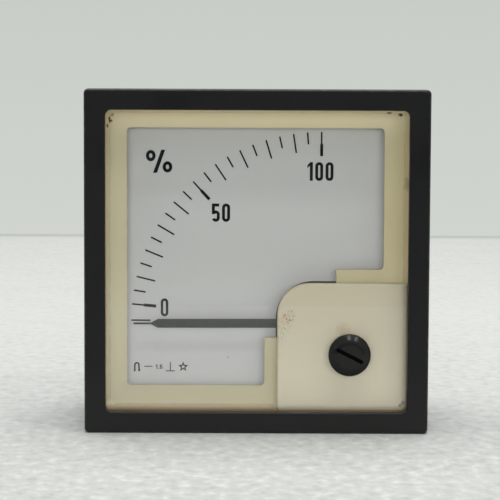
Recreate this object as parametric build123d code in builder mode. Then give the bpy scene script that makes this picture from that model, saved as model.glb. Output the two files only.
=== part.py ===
from build123d import *
import os
from math import asin, cos, degrees, radians, sin, sqrt

# Analog panel meter with a square front, a quarter-circle scale and a moving-coil movement.
# All sizes are millimetres. X is to the right, Z is up and Y goes from the viewer into the panel.
# The origin is the centre of the plane where the back of the front frame meets the panel.

# Front frame and panel cut-out
FRONT = 96.0  # side of the square front frame
FRAME_PROUD = 5.5  # how far the frame stands in front of the panel
FRAME_LEG = 5.85  # width of the frame's face
FRAME_CORNER = 1.3  # outer corner radius
FRAME_EDGE = 0.8  # rounding of the outer front edge
LIP_THICK = 2.7  # thickness of the lip in front of the window
LIP_CORNER = 1.8  # corner radius of the opening in the lip
LIP_EDGE = 0.4  # rounding of the lip's inner front edge
FLANGE_OVERLAP = 2.0  # frame past the edge of the panel cut-out
CUTOUT_PLAY = 0.75  # housing to the edge of the panel cut-out
SNAP_PLAY = 0.15  # frame to the rim of the housing
SNAP_RADIUS = 0.8  # radius of the snap ridges inside the frame
SNAP_HEIGHT = 0.35  # how far a snap ridge stands out of the frame's wall
SNAP_LENGTH = 22.0
SNAP_SETBACK = 1.2  # snap ridge in front of the panel
GROOVE_PLAY = 0.12  # snap ridge to its groove

# Window
WINDOW_THICK = 2.0
WINDOW_PLAY = 0.2  # window to the rim of the housing
WINDOW_CORNER = 1.0
SEAL_THICK = 0.5
SEAL_SETBACK = 0.1  # seal behind the edge of the lip

# Housing
HOUSING_DEPTH = 48.0  # behind the panel
HOUSING_WALL = 2.05
RIM_WALL = 1.2  # thinner wall round the window
RIM_PLAY = 0.1  # rim to the back of the lip
REAR_WALL = 2.5
HOUSING_CORNER = 2.5
HOUSING_EDGE = 2.0  # rounding of the rear edges
POST_RADIUS = 4.5  # corner posts that carry the dial
POST_INSET = 4.4  # post centre to the inside of the wall
CLAMP_WIDTH = 16.0  # recess for a mounting clamp on each side
CLAMP_LENGTH = 22.0
CLAMP_DEPTH = 1.0
CLAMP_NOSE = 7.0  # side of the nose that a clamp hooks on
CLAMP_NOSE_LENGTH = 4.0
CLAMP_END = 3.0  # recess to the rear face

# Scale mask with its hood
MASK_PLAY = 0.05  # mask to the inside of the housing
MASK_WALL = 1.5
MASK_CORNER = 2.1
EDGE_RISE = 2.8  # raised outer edge, crest to the face of the ring
EDGE_CREST = 0.5  # flat top of the raised edge
EDGE_WIDTH = 1.9  # raised edge with its sloping inside
RING_LEFT = 6.55
RING_RIGHT = 7.35
RING_TOP = 6.05
RING_BOTTOM = 7.25
RING_CORNER = 1.3  # corner radius of the dial opening
HOOD_GAP = 0.8  # window to the face of the hood
HOOD_STEP = 3.8  # face of the hood to the face of the ring
HOOD_LEFT = 12.55  # edge of the hood to the pointer's axis
HOOD_TOP = 11.8
HOOD_CORNER = 9.0  # radius of the hood's free corner
HOOD_EDGE = 0.6  # rounding of the hood's free edges
HOOD_SIDE_EDGE = 2.6  # rounding along the mask's outer sides
SHELF = 3.5  # ring left standing in front of the hood's walls
SLOT_PAST = 4.1  # pointer slot past the pointer's axis

# Dial and scale
DIAL_DROP = 4.2  # face of the ring to the dial
DIAL_THICK = 0.8
DIAL_PLAY = 0.5  # dial to the inside of the housing
DIAL_CUT = 5.0  # corner cut-out past the pointer's axis
DIAL_CORNER = 2.0
SCALE_MARGIN = 1.0  # scale to the left edge of the opening
SCALE_START = 5.2  # degrees above the horizontal
SCALE_END = 89.8
SCALE_STEPS = 20
MARK_SHORT = 3.4
MARK_LONG = 5.45
MARK_MAIN = 6.85
MARK_WIDTH = 0.45
MARK_WIDE = 0.85  # inner half of the main marks
ZERO_MARK_ANGLE = 0.25  # mark for the pointer at rest
INK = 0.05

# Pointer axis, measured from the mask's right and bottom sides
PIVOT_RIGHT = 24.75
PIVOT_BOTTOM = 25.05

# Pointer
POINTER_REST = -0.25  # degrees above the horizontal
POINTER_LOW = 2.3  # travel to the lower stop, degrees
POINTER_HIGH = 94.3  # travel to the upper stop, degrees
POINTER_WIDTH = 2.5
POINTER_THICK = 0.2
TIP_WIDTH = 0.5
TIP_LENGTH = 5.0
TIP_TAPER = 1.9
TIP_SHORT = 0.8  # tip inside the outer end of the scale
HUB_RADIUS = 2.2
HUB_THICK = 0.9
ARM_RADIUS = 0.28  # balance arms
ARM_END = 0.9  # arms past their weights
WEIGHT_RADIUS = 0.8  # trimming weights on the two side arms
WEIGHT_LENGTH = 1.8
WEIGHT_PLACE = 5.4
TAIL_RADIUS = 1.4  # weight on the arm behind the pointer
TAIL_LENGTH = 3.55
TAIL_PLACE = 8.7
STOP_RADIUS = 10.0  # stop pins from the pointer's axis
STOP_PIN = 0.6
STOP_PAST = 0.5  # stop pins past the pointer's face

# Zero adjuster, placed from the pointer's axis
ADJUSTER_REACH = 11.15
ADJUSTER_ANGLE = -46.4
KNOB_RADIUS = 5.95
KNOB_THICK = 2.1
KNOB_EDGE = 0.9
KNOB_SLOT_LENGTH = 8.3
KNOB_SLOT_WIDTH = 1.1
KNOB_SLOT_DEPTH = 1.0
KNOB_SLOT_ANGLE = -27.0
NECK_RADIUS = 3.0
NECK_PLAY = 0.08  # neck in the window
HOOD_HOLE_PLAY = 0.6  # neck in the hood
NECK_PAST = 0.3  # neck behind the hood's face plate
WASHER_RADIUS = 5.0
WASHER_THICK = 0.4
CLIP_RADIUS = 4.4
CLIP_THICK = 0.5
CLIP_GROOVE = 0.4  # depth of the groove for the clip
CLIP_PLAY = 0.05
PIN_RADIUS = 0.6
PIN_THROW = 1.2  # eccentric pin from the adjuster's axis
PIN_PAST = 0.3  # pin behind the lever

# Layers of the movement, front to back
BRIDGE_GAP = 0.4  # hood to the bridge
BRIDGE_THICK = 0.8
BRIDGE_WIDTH = 5.0
BRIDGE_END = 3.0
LEVER_GAP = 0.1
LEVER_THICK = 0.3
LEVER_RING = 2.4
LEVER_ARM = 2.2
FORK_WIDTH = 3.4
FORK_PLAY = 0.12  # pin in the fork
FORK_BACK = 1.75  # fork slot short of the pin
FORK_PAST = 1.25  # fork past the pin
SPRING_GAP = 0.4  # lever to the hairspring
SPRING_HEIGHT = 0.4
SPRING_STRIP = 0.15
SPRING_INNER = 1.0
SPRING_PITCH = 1.0
SPRING_TURNS = 4
LUG_LENGTH = 0.7
LUG_WIDTH = 1.2
POINTER_GAP = 0.35  # hairspring to the pointer
STAFF_RADIUS = 0.55
STAFF_CONE = 1.0
STAFF_FLANGE = 2.0
STAFF_FLANGE_THICK = 0.4
FIT = 0.01  # pressed pieces that touch
JEWEL_SCREW_RADIUS = 1.25
JEWEL_SCREW_PAST = 0.55  # screw behind the bridge
JEWEL_SCREW_PROUD = 0.2  # screw in front of the bridge
JEWEL_RADIUS = 0.75
JEWEL_LENGTH = 0.9
JEWEL_CUP_RADIUS = 0.45
JEWEL_CUP_DEPTH = 0.55
PIVOT_PLAY = 0.1  # pivot point to the bottom of its jewel
BEARING_PLAY = 0.05  # lever on the jewel screw

# Coil, magnet and yoke
COIL_SETBACK = 1.7  # dial back to the front of the coil
CORE_RADIUS = 8.4
CORE_GAP = 0.9  # core to the coil former
CORE_END_GAP = 1.8  # core to the coil former at the ends
FORMER_THICK = 0.4
FORMER_WIDTH = 3.0
FORMER_CORNER = 1.5
COIL_THICK = 1.2
COIL_WIDTH = 2.6
YOKE_GAP = 1.5  # coil to the yoke
YOKE_WALL = 3.1
SPACER_ANGLE = 48.0
SPACER_SETBACK = 1.6  # spacers short of the ends of the core
PILLAR_RADIUS = 1.5
PILLAR_ANGLES = (-5.0, 275.0)
PILLAR_SCREW = 0.8
PILLAR_SCREW_HEAD = 1.6
PILLAR_SCREW_LENGTH = 4.0

# Base of the movement
BASE_GAP = 1.7  # rear coil flange to the base
BASE_THICK = 2.5
BASE_STAND = 7.1  # base to the housing's floor
BASE_RADIUS = 17.0
BASE_EAR = 3.2
BASE_EAR_GAP = 1.3  # ear to the inside of the housing
BASE_EAR_ANGLES = (105.0, 225.0, 345.0)
BOLT_ANGLES = (45.0, 165.0, 285.0)
BOLT_RADIUS = 0.9
BOLT_HEAD = 1.7
BOLT_HEAD_THICK = 1.2
BOLT_IN_YOKE = 4.0
YOKE_POST_RADIUS = 1.5
REAR_SCREW_RADIUS = 1.75
REAR_SCREW_SETBACK = 0.5  # jewel screw behind the base's face
REAR_SCREW_PAST = 2.8
LOCK_NUT_FLATS = 6.0
LOCK_NUT_THICK = 2.0
REAR_SPRING_SETBACK = 0.5  # coil flange to the rear hairspring
ANCHOR_ANGLE = 200.0
ANCHOR_STEM = 1.0
ANCHOR_BLOCK = 2.6
ANCHOR_PAST = 1.6
SCREW_RADIUS = 1.15
SCREW_HEAD = 2.2
SCREW_HEAD_THICK = 1.3
SCREW_LENGTH = 7.0
SCREW_PLAY = 0.05
DIAL_SCREW_RADIUS = 0.95
DIAL_SCREW_HEAD = 1.9
DIAL_SCREW_HEAD_THICK = 0.9
DIAL_SCREW_LENGTH = 7.0

# Terminals and circuit board
STUD_SPACING = 40.0
STUD_HEIGHT = 20.0
STUD_RADIUS = 2.0
STUD_PLAY = 0.1
STUD_PROUD = 15.0  # stud behind the housing's rear face
STUD_INSIDE = 4.0  # stud in front of the board
STUD_COLLAR = 4.5
STUD_COLLAR_THICK = 2.4
STUD_POINT = 0.5
BOSS_RADIUS = 6.5
BOSS_HEIGHT = 1.0
NUT_FLATS = 7.0
NUT_THICK = 3.2
WASHER_OUTER = 4.5
FLAT_WASHER_THICK = 0.8
LOCK_WASHER_OUTER = 3.6
LOCK_WASHER_THICK = 1.0
LOCK_WASHER_SPLIT = 0.6
BOARD_LENGTH = 56.0
BOARD_WIDTH = 16.0
BOARD_THICK = 1.6
BOARD_CORNER = 1.5
RESISTOR_RADIUS = 2.2
RESISTOR_LENGTH = 13.0
RESISTOR_SPAN = 22.0
RESISTOR_STAND = 2.7  # resistor axis in front of the board
RESISTOR_WIRE = 0.35
LEAD_RADIUS = 0.5
LEAD_BEND = 2.5
LEAD_DROP = 10.0  # straight run at each end of the spring lead
LEAD_GAP = 3.75  # spring lead to the nearest ear of the base

# Sizes and layers that follow from the values above
opening = FRONT - 2 * FRAME_LEG
cutout = FRONT - 2 * FLANGE_OVERLAP
housing_side = cutout - 2 * CUTOUT_PLAY
housing_inside = housing_side - 2 * HOUSING_WALL
rim_inside = housing_side - 2 * RIM_WALL
window_side = rim_inside - 2 * WINDOW_PLAY
frame_inside = housing_side + 2 * SNAP_PLAY
mask_side = housing_inside - 2 * MASK_PLAY
dial_side = housing_inside - 2 * DIAL_PLAY
post_place = housing_inside / 2 - POST_INSET

frame_front = -FRAME_PROUD
lip_back = frame_front + LIP_THICK
rim_front = lip_back + RIM_PLAY
window_front = lip_back + SEAL_THICK
window_back = window_front + WINDOW_THICK
hood_front = window_back + HOOD_GAP
hood_back = hood_front + MASK_WALL
ring_front = hood_front + HOOD_STEP
ring_back = ring_front + MASK_WALL
crest_front = ring_front - EDGE_RISE
dial_front = ring_front + DIAL_DROP
dial_back = dial_front + DIAL_THICK
housing_floor = HOUSING_DEPTH - REAR_WALL

open_left = -mask_side / 2 + RING_LEFT
open_right = mask_side / 2 - RING_RIGHT
open_top = mask_side / 2 - RING_TOP
open_bottom = -mask_side / 2 + RING_BOTTOM
pivot_x = mask_side / 2 - PIVOT_RIGHT
pivot_z = -mask_side / 2 + PIVOT_BOTTOM
hood_x = pivot_x - HOOD_LEFT
hood_z = pivot_z + HOOD_TOP
shelf_x = hood_x - SHELF
shelf_z = hood_z + SHELF
slot_x = pivot_x + SLOT_PAST
slot_z = pivot_z - SLOT_PAST
scale_radius = pivot_x - open_left - SCALE_MARGIN
adjuster_x = pivot_x + ADJUSTER_REACH * cos(radians(ADJUSTER_ANGLE))
adjuster_z = pivot_z + ADJUSTER_REACH * sin(radians(ADJUSTER_ANGLE))

bridge_front = hood_back + BRIDGE_GAP
bridge_back = bridge_front + BRIDGE_THICK
lever_front = bridge_back + LEVER_GAP
lever_back = lever_front + LEVER_THICK
spring_front = lever_back + SPRING_GAP
spring_back = spring_front + SPRING_HEIGHT
pointer_front = spring_back + POINTER_GAP
pointer_back = pointer_front + POINTER_THICK
hub_back = pointer_back + HUB_THICK
front_jewel_back = bridge_back + JEWEL_SCREW_PAST
front_point = front_jewel_back - JEWEL_CUP_DEPTH + PIVOT_PLAY

coil_front = dial_back + COIL_SETBACK
former_front = coil_front + COIL_THICK
core_front = former_front + FORMER_THICK + CORE_END_GAP
base_back = housing_floor - BASE_STAND
base_front = base_back - BASE_THICK
rear_flange = base_front - BASE_GAP
coil_back = rear_flange - STAFF_FLANGE_THICK
former_back = coil_back - COIL_THICK
core_back = former_back - FORMER_THICK - CORE_END_GAP
core_length = core_back - core_front
spacer_length = core_length - 2 * SPACER_SETBACK
former_reach = CORE_RADIUS + CORE_GAP + FORMER_THICK
coil_reach = former_reach + COIL_THICK
yoke_inside = coil_reach + YOKE_GAP
yoke_outside = yoke_inside + YOKE_WALL
yoke_middle = (yoke_inside + yoke_outside) / 2
ear_room = housing_inside / 2 - pivot_x - BASE_EAR - BASE_EAR_GAP
ear_reach = ear_room / cos(radians(BASE_EAR_ANGLES[-1]))
rear_spring_front = rear_flange + REAR_SPRING_SETBACK
rear_spring_back = rear_spring_front + SPRING_HEIGHT
rear_jewel_front = base_front + REAR_SCREW_SETBACK
rear_point = rear_jewel_front + JEWEL_CUP_DEPTH - PIVOT_PLAY
spring_reach = SPRING_INNER + SPRING_TURNS * SPRING_PITCH
lug_inside = spring_reach + SPRING_STRIP / 2

pointer_direction = 180 - POINTER_REST
coil_direction = pointer_direction - 90
lug_direction = ADJUSTER_ANGLE + 180
spacer_direction = coil_direction + 45

board_back = housing_floor - STUD_COLLAR_THICK
board_front = board_back - BOARD_THICK
boss_back = HOUSING_DEPTH + BOSS_HEIGHT
fixing_nut_back = boss_back + NUT_THICK
washer_back = fixing_nut_back + FLAT_WASHER_THICK
lock_washer_back = washer_back + LOCK_WASHER_THICK
terminal_nut_back = lock_washer_back + NUT_THICK
stud_end = HOUSING_DEPTH + STUD_PROUD
stud_places = [(-STUD_SPACING / 2, STUD_HEIGHT), (STUD_SPACING / 2, STUD_HEIGHT)]
dial_posts = [(-post_place, post_place), (post_place, post_place), (-post_place, -post_place)]


def across(y, x=0, z=0, angle=0):
    """Plane that faces the viewer at depth y, with its local x turned by angle from +X towards +Z."""
    turn = radians(angle)
    return Plane(origin=(x, y, z), x_dir=(cos(turn), 0, sin(turn)), z_dir=(0, -1, 0))


def on_axis(y, angle=0):
    """The same plane, centred on the pointer's axis."""
    return across(y, pivot_x, pivot_z, angle)


def lengthwise(x, z, angle=0):
    """Plane through a line along Y, with local x away from the line and local y along Y."""
    turn = radians(angle)
    return Plane(origin=(x, 0, z), x_dir=(cos(turn), 0, sin(turn)), z_dir=(-sin(turn), 0, cos(turn)))


def around_pivot(radius, angles):
    """Points at a radius from the pointer's axis."""
    return [(pivot_x + radius * cos(radians(a)), pivot_z + radius * sin(radians(a))) for a in angles]


def save(piece, label):
    """Name a finished piece and write it."""
    piece.part.label = label
    export_step(piece.part, f"parts/{label}.step")


def turned(label, places, outline):
    """Pieces turned on a lathe, one at each (x, z) place, from an outline of (radius, depth) points."""
    with BuildPart() as pieces:
        for x, z in places:
            with BuildSketch(lengthwise(x, z)):
                with BuildLine():
                    Polyline(*outline, close=True)
                make_face()
            revolve(axis=Axis((x, 0, z), (0, 1, 0)))
    save(pieces, label)


def tube(inner, outer, front, back):
    """Outline of a round sleeve or washer."""
    return [(inner, front), (outer, front), (outer, back), (inner, back)]


def screw(shank, head, head_end, seat, tip):
    """Outline of a flat-headed screw, with its head from head_end to seat."""
    return [(0, head_end), (head, head_end), (head, seat), (shank, seat), (shank, tip), (0, tip)]


def hex_nuts(label, places, flats, bore, front, back):
    """Hexagon nuts on round studs."""
    with BuildPart() as nuts:
        for x, z in places:
            with BuildSketch(across(back, x, z)):
                RegularPolygon(flats / 2, 6, major_radius=False)
                Circle(bore, mode=Mode.SUBTRACT)
            extrude(amount=back - front)
    save(nuts, label)


def hairspring(label, back, direction):
    """Flat spiral strip of half circles about two centres, with its collet, ending at a direction."""
    shift = SPRING_PITCH / 2
    with BuildPart() as spring:
        with BuildSketch(on_axis(back, direction)):
            with BuildLine():
                for half in range(2 * SPRING_TURNS):
                    middle = shift * (half % 2)
                    CenterArc((middle, 0), SPRING_INNER + half * shift, 180 * (half % 2), 180)
            trace(line_width=SPRING_STRIP)
            Circle(SPRING_INNER)
            Circle(STAFF_RADIUS + FIT, mode=Mode.SUBTRACT)
        extrude(amount=SPRING_HEIGHT)
    save(spring, label)


os.makedirs("parts", exist_ok=True)
side_planes = (Plane.YZ, Plane(origin=(0, 0, 0), x_dir=(0, 1, 0), z_dir=(0, 0, 1)))
snap_place = frame_inside / 2 + SNAP_RADIUS - SNAP_HEIGHT
snap_points = [(-SNAP_SETBACK, snap_place), (-SNAP_SETBACK, -snap_place)]

# Front frame: a square lip with a wall behind it that snaps over the rim of the housing
with BuildPart() as front_bezel:
    with BuildSketch(across(0)):
        RectangleRounded(FRONT, FRONT, FRAME_CORNER)
    extrude(amount=FRAME_PROUD)
    fillet(front_bezel.faces().sort_by(Axis.Y)[0].edges(), FRAME_EDGE)
    with BuildSketch(across(lip_back)):
        RectangleRounded(opening, opening, LIP_CORNER)
    extrude(amount=LIP_THICK, mode=Mode.SUBTRACT)
    fillet(front_bezel.faces().sort_by(Axis.Y)[0].inner_wires()[0].edges(), LIP_EDGE)
    with BuildSketch(across(0)):
        RectangleRounded(frame_inside, frame_inside, HOUSING_CORNER)
    extrude(amount=-lip_back, mode=Mode.SUBTRACT)
    with BuildSketch(*side_planes):
        with Locations(*snap_points):
            Circle(SNAP_RADIUS)
    extrude(amount=SNAP_LENGTH / 2, both=True)
save(front_bezel, "front_bezel")

# Rubber ring between the lip and the window
with BuildPart() as window_seal:
    with BuildSketch(across(window_front)):
        RectangleRounded(window_side, window_side, WINDOW_CORNER)
        seal_inside = opening + 2 * SEAL_SETBACK
        RectangleRounded(seal_inside, seal_inside, LIP_CORNER, mode=Mode.SUBTRACT)
    extrude(amount=SEAL_THICK)
save(window_seal, "window_seal")

# Clear window with the adjuster's hole
with BuildPart() as front_window:
    with BuildSketch(across(window_back)):
        RectangleRounded(window_side, window_side, WINDOW_CORNER)
        with Locations((adjuster_x, adjuster_z)):
            Circle(NECK_RADIUS + NECK_PLAY, mode=Mode.SUBTRACT)
    extrude(amount=WINDOW_THICK)
save(front_window, "front_window")

# Zero adjuster: slotted knob in front of the window, grooved neck and eccentric pin behind it
knob_back = window_front - WASHER_THICK
knob_front = knob_back - KNOB_THICK
clip_front = window_back + CLIP_PLAY
clip_back = clip_front + CLIP_THICK
neck_end = hood_back + NECK_PAST
groove_radius = NECK_RADIUS - CLIP_GROOVE
with BuildPart() as zero_adjuster:
    with BuildSketch(across(knob_back, adjuster_x, adjuster_z)):
        Circle(KNOB_RADIUS)
    extrude(amount=KNOB_THICK)
    fillet(zero_adjuster.faces().sort_by(Axis.Y)[0].edges(), KNOB_EDGE)
    with BuildSketch(across(knob_front, adjuster_x, adjuster_z, KNOB_SLOT_ANGLE)):
        SlotOverall(KNOB_SLOT_LENGTH, KNOB_SLOT_WIDTH)
    extrude(amount=-KNOB_SLOT_DEPTH, mode=Mode.SUBTRACT)
    with BuildSketch(across(neck_end, adjuster_x, adjuster_z)):
        Circle(NECK_RADIUS)
    extrude(amount=neck_end - knob_back)
    with BuildSketch(across(clip_back + CLIP_PLAY, adjuster_x, adjuster_z)):
        Circle(NECK_RADIUS + NECK_PLAY)
        Circle(groove_radius, mode=Mode.SUBTRACT)
    extrude(amount=CLIP_THICK + 2 * CLIP_PLAY, mode=Mode.SUBTRACT)
    with BuildSketch(on_axis(lever_back + PIN_PAST, ADJUSTER_ANGLE)):
        with Locations((ADJUSTER_REACH + PIN_THROW, 0)):
            Circle(PIN_RADIUS)
    extrude(amount=lever_back + PIN_PAST - neck_end)
save(zero_adjuster, "zero_adjuster")

adjuster_place = [(adjuster_x, adjuster_z)]
knob_washer = tube(NECK_RADIUS + NECK_PLAY, WASHER_RADIUS, knob_back, window_front)
turned("adjuster_seal", adjuster_place, knob_washer)

# Open spring clip in the neck's groove
with BuildPart() as adjuster_clip:
    with BuildSketch(across(clip_back, adjuster_x, adjuster_z, ADJUSTER_ANGLE)):
        Circle(CLIP_RADIUS)
        Circle(groove_radius + FIT, mode=Mode.SUBTRACT)
        with Locations((CLIP_RADIUS, 0)):
            Rectangle(2 * CLIP_RADIUS, groove_radius, mode=Mode.SUBTRACT)
    extrude(amount=CLIP_THICK)
save(adjuster_clip, "adjuster_clip")

# Hood of the mask: a raised box in the lower right corner with one large free corner
hood_width = mask_side / 2 - hood_x
hood_height = mask_side / 2 + hood_z
hood_middle = (hood_x + hood_width / 2, hood_z - hood_height / 2)
with BuildPart() as hood:
    with BuildSketch(across(dial_front)) as hood_plan:
        with Locations(hood_middle):
            Rectangle(hood_width, hood_height)
        fillet(hood_plan.vertices().sort_by(lambda v: v.X - v.Y)[0], HOOD_CORNER)
        fillet(hood_plan.vertices().sort_by(lambda v: v.X - v.Y)[-1], MASK_CORNER)
    extrude(amount=dial_front - hood_front)
    outer_edges = hood.faces().sort_by(Axis.Y)[0].edges().filter_by(
        lambda e: e.center().X > mask_side / 2 - MASK_CORNER or e.center().Z < -mask_side / 2 + MASK_CORNER
    )
    fillet(outer_edges, HOOD_SIDE_EDGE)
    free_edges = hood.faces().sort_by(Axis.Y)[0].edges().filter_by(
        lambda e: e.center().X < hood_x + HOOD_CORNER or e.center().Z > hood_z - HOOD_CORNER
    )
    fillet(free_edges, HOOD_EDGE)

# Scale mask: one moulding of a flat ring with a raised edge, an outer wall and the hood
crest_inside = mask_side - 2 * EDGE_CREST
ring_side = mask_side - 2 * EDGE_WIDTH
with BuildPart() as scale_mask:
    with BuildSketch(across(dial_front)):
        RectangleRounded(mask_side, mask_side, MASK_CORNER)
    extrude(amount=dial_front - crest_front)
    with BuildSketch(across(ring_front)):
        RectangleRounded(ring_side, ring_side, MASK_CORNER)
    with BuildSketch(across(crest_front)):
        RectangleRounded(crest_inside, crest_inside, MASK_CORNER)
    loft(mode=Mode.SUBTRACT)
    add(hood.part)
    with BuildSketch(across(dial_front)):
        mask_inside = mask_side - 2 * MASK_WALL
        RectangleRounded(mask_inside, mask_inside, MASK_CORNER - MASK_WALL)
    extrude(amount=dial_front - ring_back, mode=Mode.SUBTRACT)
    with BuildSketch(across(dial_front)) as hood_cavity:
        with Locations(hood_middle):
            Rectangle(hood_width - 2 * MASK_WALL, hood_height - 2 * MASK_WALL)
        fillet(hood_cavity.vertices().sort_by(lambda v: v.X - v.Y)[0], HOOD_CORNER - MASK_WALL)
        fillet(hood_cavity.vertices().sort_by(lambda v: v.X - v.Y)[-1], MASK_CORNER - MASK_WALL)
    extrude(amount=dial_front - hood_back, mode=Mode.SUBTRACT)
    with BuildSketch(across(dial_front)) as dial_opening:
        with BuildLine():
            Polyline(
                (open_left, open_top),
                (open_right, open_top),
                (open_right, shelf_z),
                (shelf_x, shelf_z),
                (shelf_x, open_bottom),
                (open_left, open_bottom),
                close=True,
            )
        make_face()
        fillet(dial_opening.vertices(), RING_CORNER)
    extrude(amount=dial_front - ring_front, mode=Mode.SUBTRACT)
    with BuildSketch(across(dial_front)):
        with Locations(((shelf_x + slot_x) / 2, (shelf_z + slot_z) / 2)):
            Rectangle(slot_x - shelf_x, shelf_z - slot_z)
    extrude(amount=dial_front - hood_back, mode=Mode.SUBTRACT)
    with BuildSketch(across(hood_back, adjuster_x, adjuster_z)):
        Circle(NECK_RADIUS + HOOD_HOLE_PLAY)
    extrude(amount=MASK_WALL, mode=Mode.SUBTRACT)
save(scale_mask, "scale_mask")

# Dial: painted sheet with its lower right corner cut away for the movement
with BuildPart() as dial_plate:
    with BuildSketch(across(dial_back)) as dial_plan:
        Rectangle(dial_side, dial_side)
        cut_left = pivot_x - DIAL_CUT
        cut_top = pivot_z + DIAL_CUT
        with Locations((cut_left, cut_top)):
            Rectangle(dial_side, dial_side, align=(Align.MIN, Align.MAX), mode=Mode.SUBTRACT)
        fillet(dial_plan.vertices(), DIAL_CORNER)
        with Locations(*dial_posts):
            Circle(DIAL_SCREW_RADIUS + SCREW_PLAY, mode=Mode.SUBTRACT)
    extrude(amount=DIAL_THICK)
save(dial_plate, "dial_plate")

# Printed scale: short and long marks, three main marks with a wide inner half, and a rest mark
with BuildPart() as scale_marks:
    for step in range(SCALE_STEPS + 1):
        angle = SCALE_START + (SCALE_END - SCALE_START) * step / SCALE_STEPS
        main = step % (SCALE_STEPS // 2) == 0
        length = MARK_MAIN if main else MARK_SHORT if step % 2 else MARK_LONG
        with BuildSketch(on_axis(dial_front, 180 - angle)):
            with Locations((scale_radius - length / 2, 0)):
                Rectangle(length, MARK_WIDTH)
            if main:
                wide = length - MARK_SHORT
                with Locations((scale_radius - length + wide / 2, 0)):
                    Rectangle(wide, MARK_WIDE)
        extrude(amount=INK)
    with BuildSketch(on_axis(dial_front, 180 - ZERO_MARK_ANGLE)):
        with Locations((scale_radius - MARK_LONG / 2, 0)):
            Rectangle(MARK_LONG, MARK_WIDTH)
    extrude(amount=INK)
save(scale_marks, "scale_marks")

# Screws that hold the dial on the posts, and the pins that stop the pointer
dial_screw_front = dial_front - DIAL_SCREW_HEAD_THICK
dial_screw_end = dial_front + DIAL_SCREW_LENGTH
dial_screw = screw(DIAL_SCREW_RADIUS, DIAL_SCREW_HEAD, dial_screw_front, dial_front, dial_screw_end)
turned("dial_screws", dial_posts, dial_screw)
stop_turn = degrees(asin((POINTER_WIDTH / 2 + STOP_PIN) / STOP_RADIUS))
stop_angles = (
    pointer_direction + POINTER_LOW + stop_turn,
    pointer_direction - POINTER_HIGH - stop_turn,
)
stop_front = pointer_front - STOP_PAST
stop_pin = [(0, stop_front), (STOP_PIN, stop_front), (STOP_PIN, dial_front), (0, dial_front)]
turned("stop_pins", around_pivot(STOP_RADIUS, stop_angles), stop_pin)

# Pointer: flat strip with an eye on the staff, tapering to a fine tip
tip_reach = scale_radius - TIP_SHORT
tip_start = tip_reach - TIP_LENGTH
body_end = tip_start - TIP_TAPER
with BuildPart() as pointer:
    with BuildSketch(on_axis(pointer_back, pointer_direction)):
        with BuildLine():
            Polyline(
                (0, POINTER_WIDTH / 2),
                (body_end, POINTER_WIDTH / 2),
                (tip_start, TIP_WIDTH / 2),
                (tip_reach, TIP_WIDTH / 2),
                (tip_reach, -TIP_WIDTH / 2),
                (tip_start, -TIP_WIDTH / 2),
                (body_end, -POINTER_WIDTH / 2),
                (0, -POINTER_WIDTH / 2),
                close=True,
            )
        make_face()
        Circle(HUB_RADIUS)
        Circle(STAFF_RADIUS + FIT, mode=Mode.SUBTRACT)
    extrude(amount=POINTER_THICK)
save(pointer, "pointer")

# Hub under the pointer with three balance arms, each (turn from the pointer, weight place, length, radius)
arm_depth = (pointer_back + hub_back) / 2
arms = (
    (90, WEIGHT_PLACE, WEIGHT_LENGTH, WEIGHT_RADIUS),
    (180, TAIL_PLACE, TAIL_LENGTH, TAIL_RADIUS),
    (270, WEIGHT_PLACE, WEIGHT_LENGTH, WEIGHT_RADIUS),
)
with BuildPart() as pointer_hub:
    with BuildSketch(on_axis(hub_back, pointer_direction)):
        Circle(HUB_RADIUS)
    extrude(amount=HUB_THICK)
    for arm_turn, place, length, _ in arms:
        turn = radians(pointer_direction + arm_turn)
        outwards = (cos(turn), 0, sin(turn))
        with BuildSketch(Plane(origin=(pivot_x, arm_depth, pivot_z), z_dir=outwards)):
            Circle(ARM_RADIUS)
        extrude(amount=place + length / 2 + ARM_END)
    with BuildSketch(on_axis(hub_back)):
        Circle(STAFF_RADIUS + FIT)
    extrude(amount=HUB_THICK, mode=Mode.SUBTRACT)
save(pointer_hub, "pointer_hub")

# Small sleeves that are slid along the arms to balance the pointer
with BuildPart() as balance_weights:
    for arm_turn, place, length, radius in arms:
        turn = radians(pointer_direction + arm_turn)
        start = place - length / 2
        weight_start = (pivot_x + start * cos(turn), arm_depth, pivot_z + start * sin(turn))
        with BuildSketch(Plane(origin=weight_start, z_dir=(cos(turn), 0, sin(turn)))):
            Circle(radius)
            Circle(ARM_RADIUS + FIT, mode=Mode.SUBTRACT)
        extrude(amount=length)
save(balance_weights, "balance_weights")

# Coil: a rectangular former round the magnet, with the winding on it
former_middle = (former_front + former_back) / 2
former_length = former_back - former_front
with BuildPart() as coil_former:
    with BuildSketch(lengthwise(pivot_x, pivot_z, coil_direction)):
        with Locations((0, former_middle)):
            RectangleRounded(2 * former_reach, former_length, FORMER_CORNER)
            window_width = 2 * (former_reach - FORMER_THICK)
            window_length = former_length - 2 * FORMER_THICK
            RectangleRounded(
                window_width, window_length, FORMER_CORNER - FORMER_THICK, mode=Mode.SUBTRACT
            )
    extrude(amount=FORMER_WIDTH / 2, both=True)
save(coil_former, "coil_former")

with BuildPart() as coil_winding:
    with BuildSketch(lengthwise(pivot_x, pivot_z, coil_direction)):
        with Locations((0, former_middle)):
            RectangleRounded(2 * coil_reach, coil_back - coil_front, FORMER_CORNER + COIL_THICK)
            RectangleRounded(2 * former_reach, former_length, FORMER_CORNER, mode=Mode.SUBTRACT)
    extrude(amount=COIL_WIDTH / 2, both=True)
save(coil_winding, "coil_winding")

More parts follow.
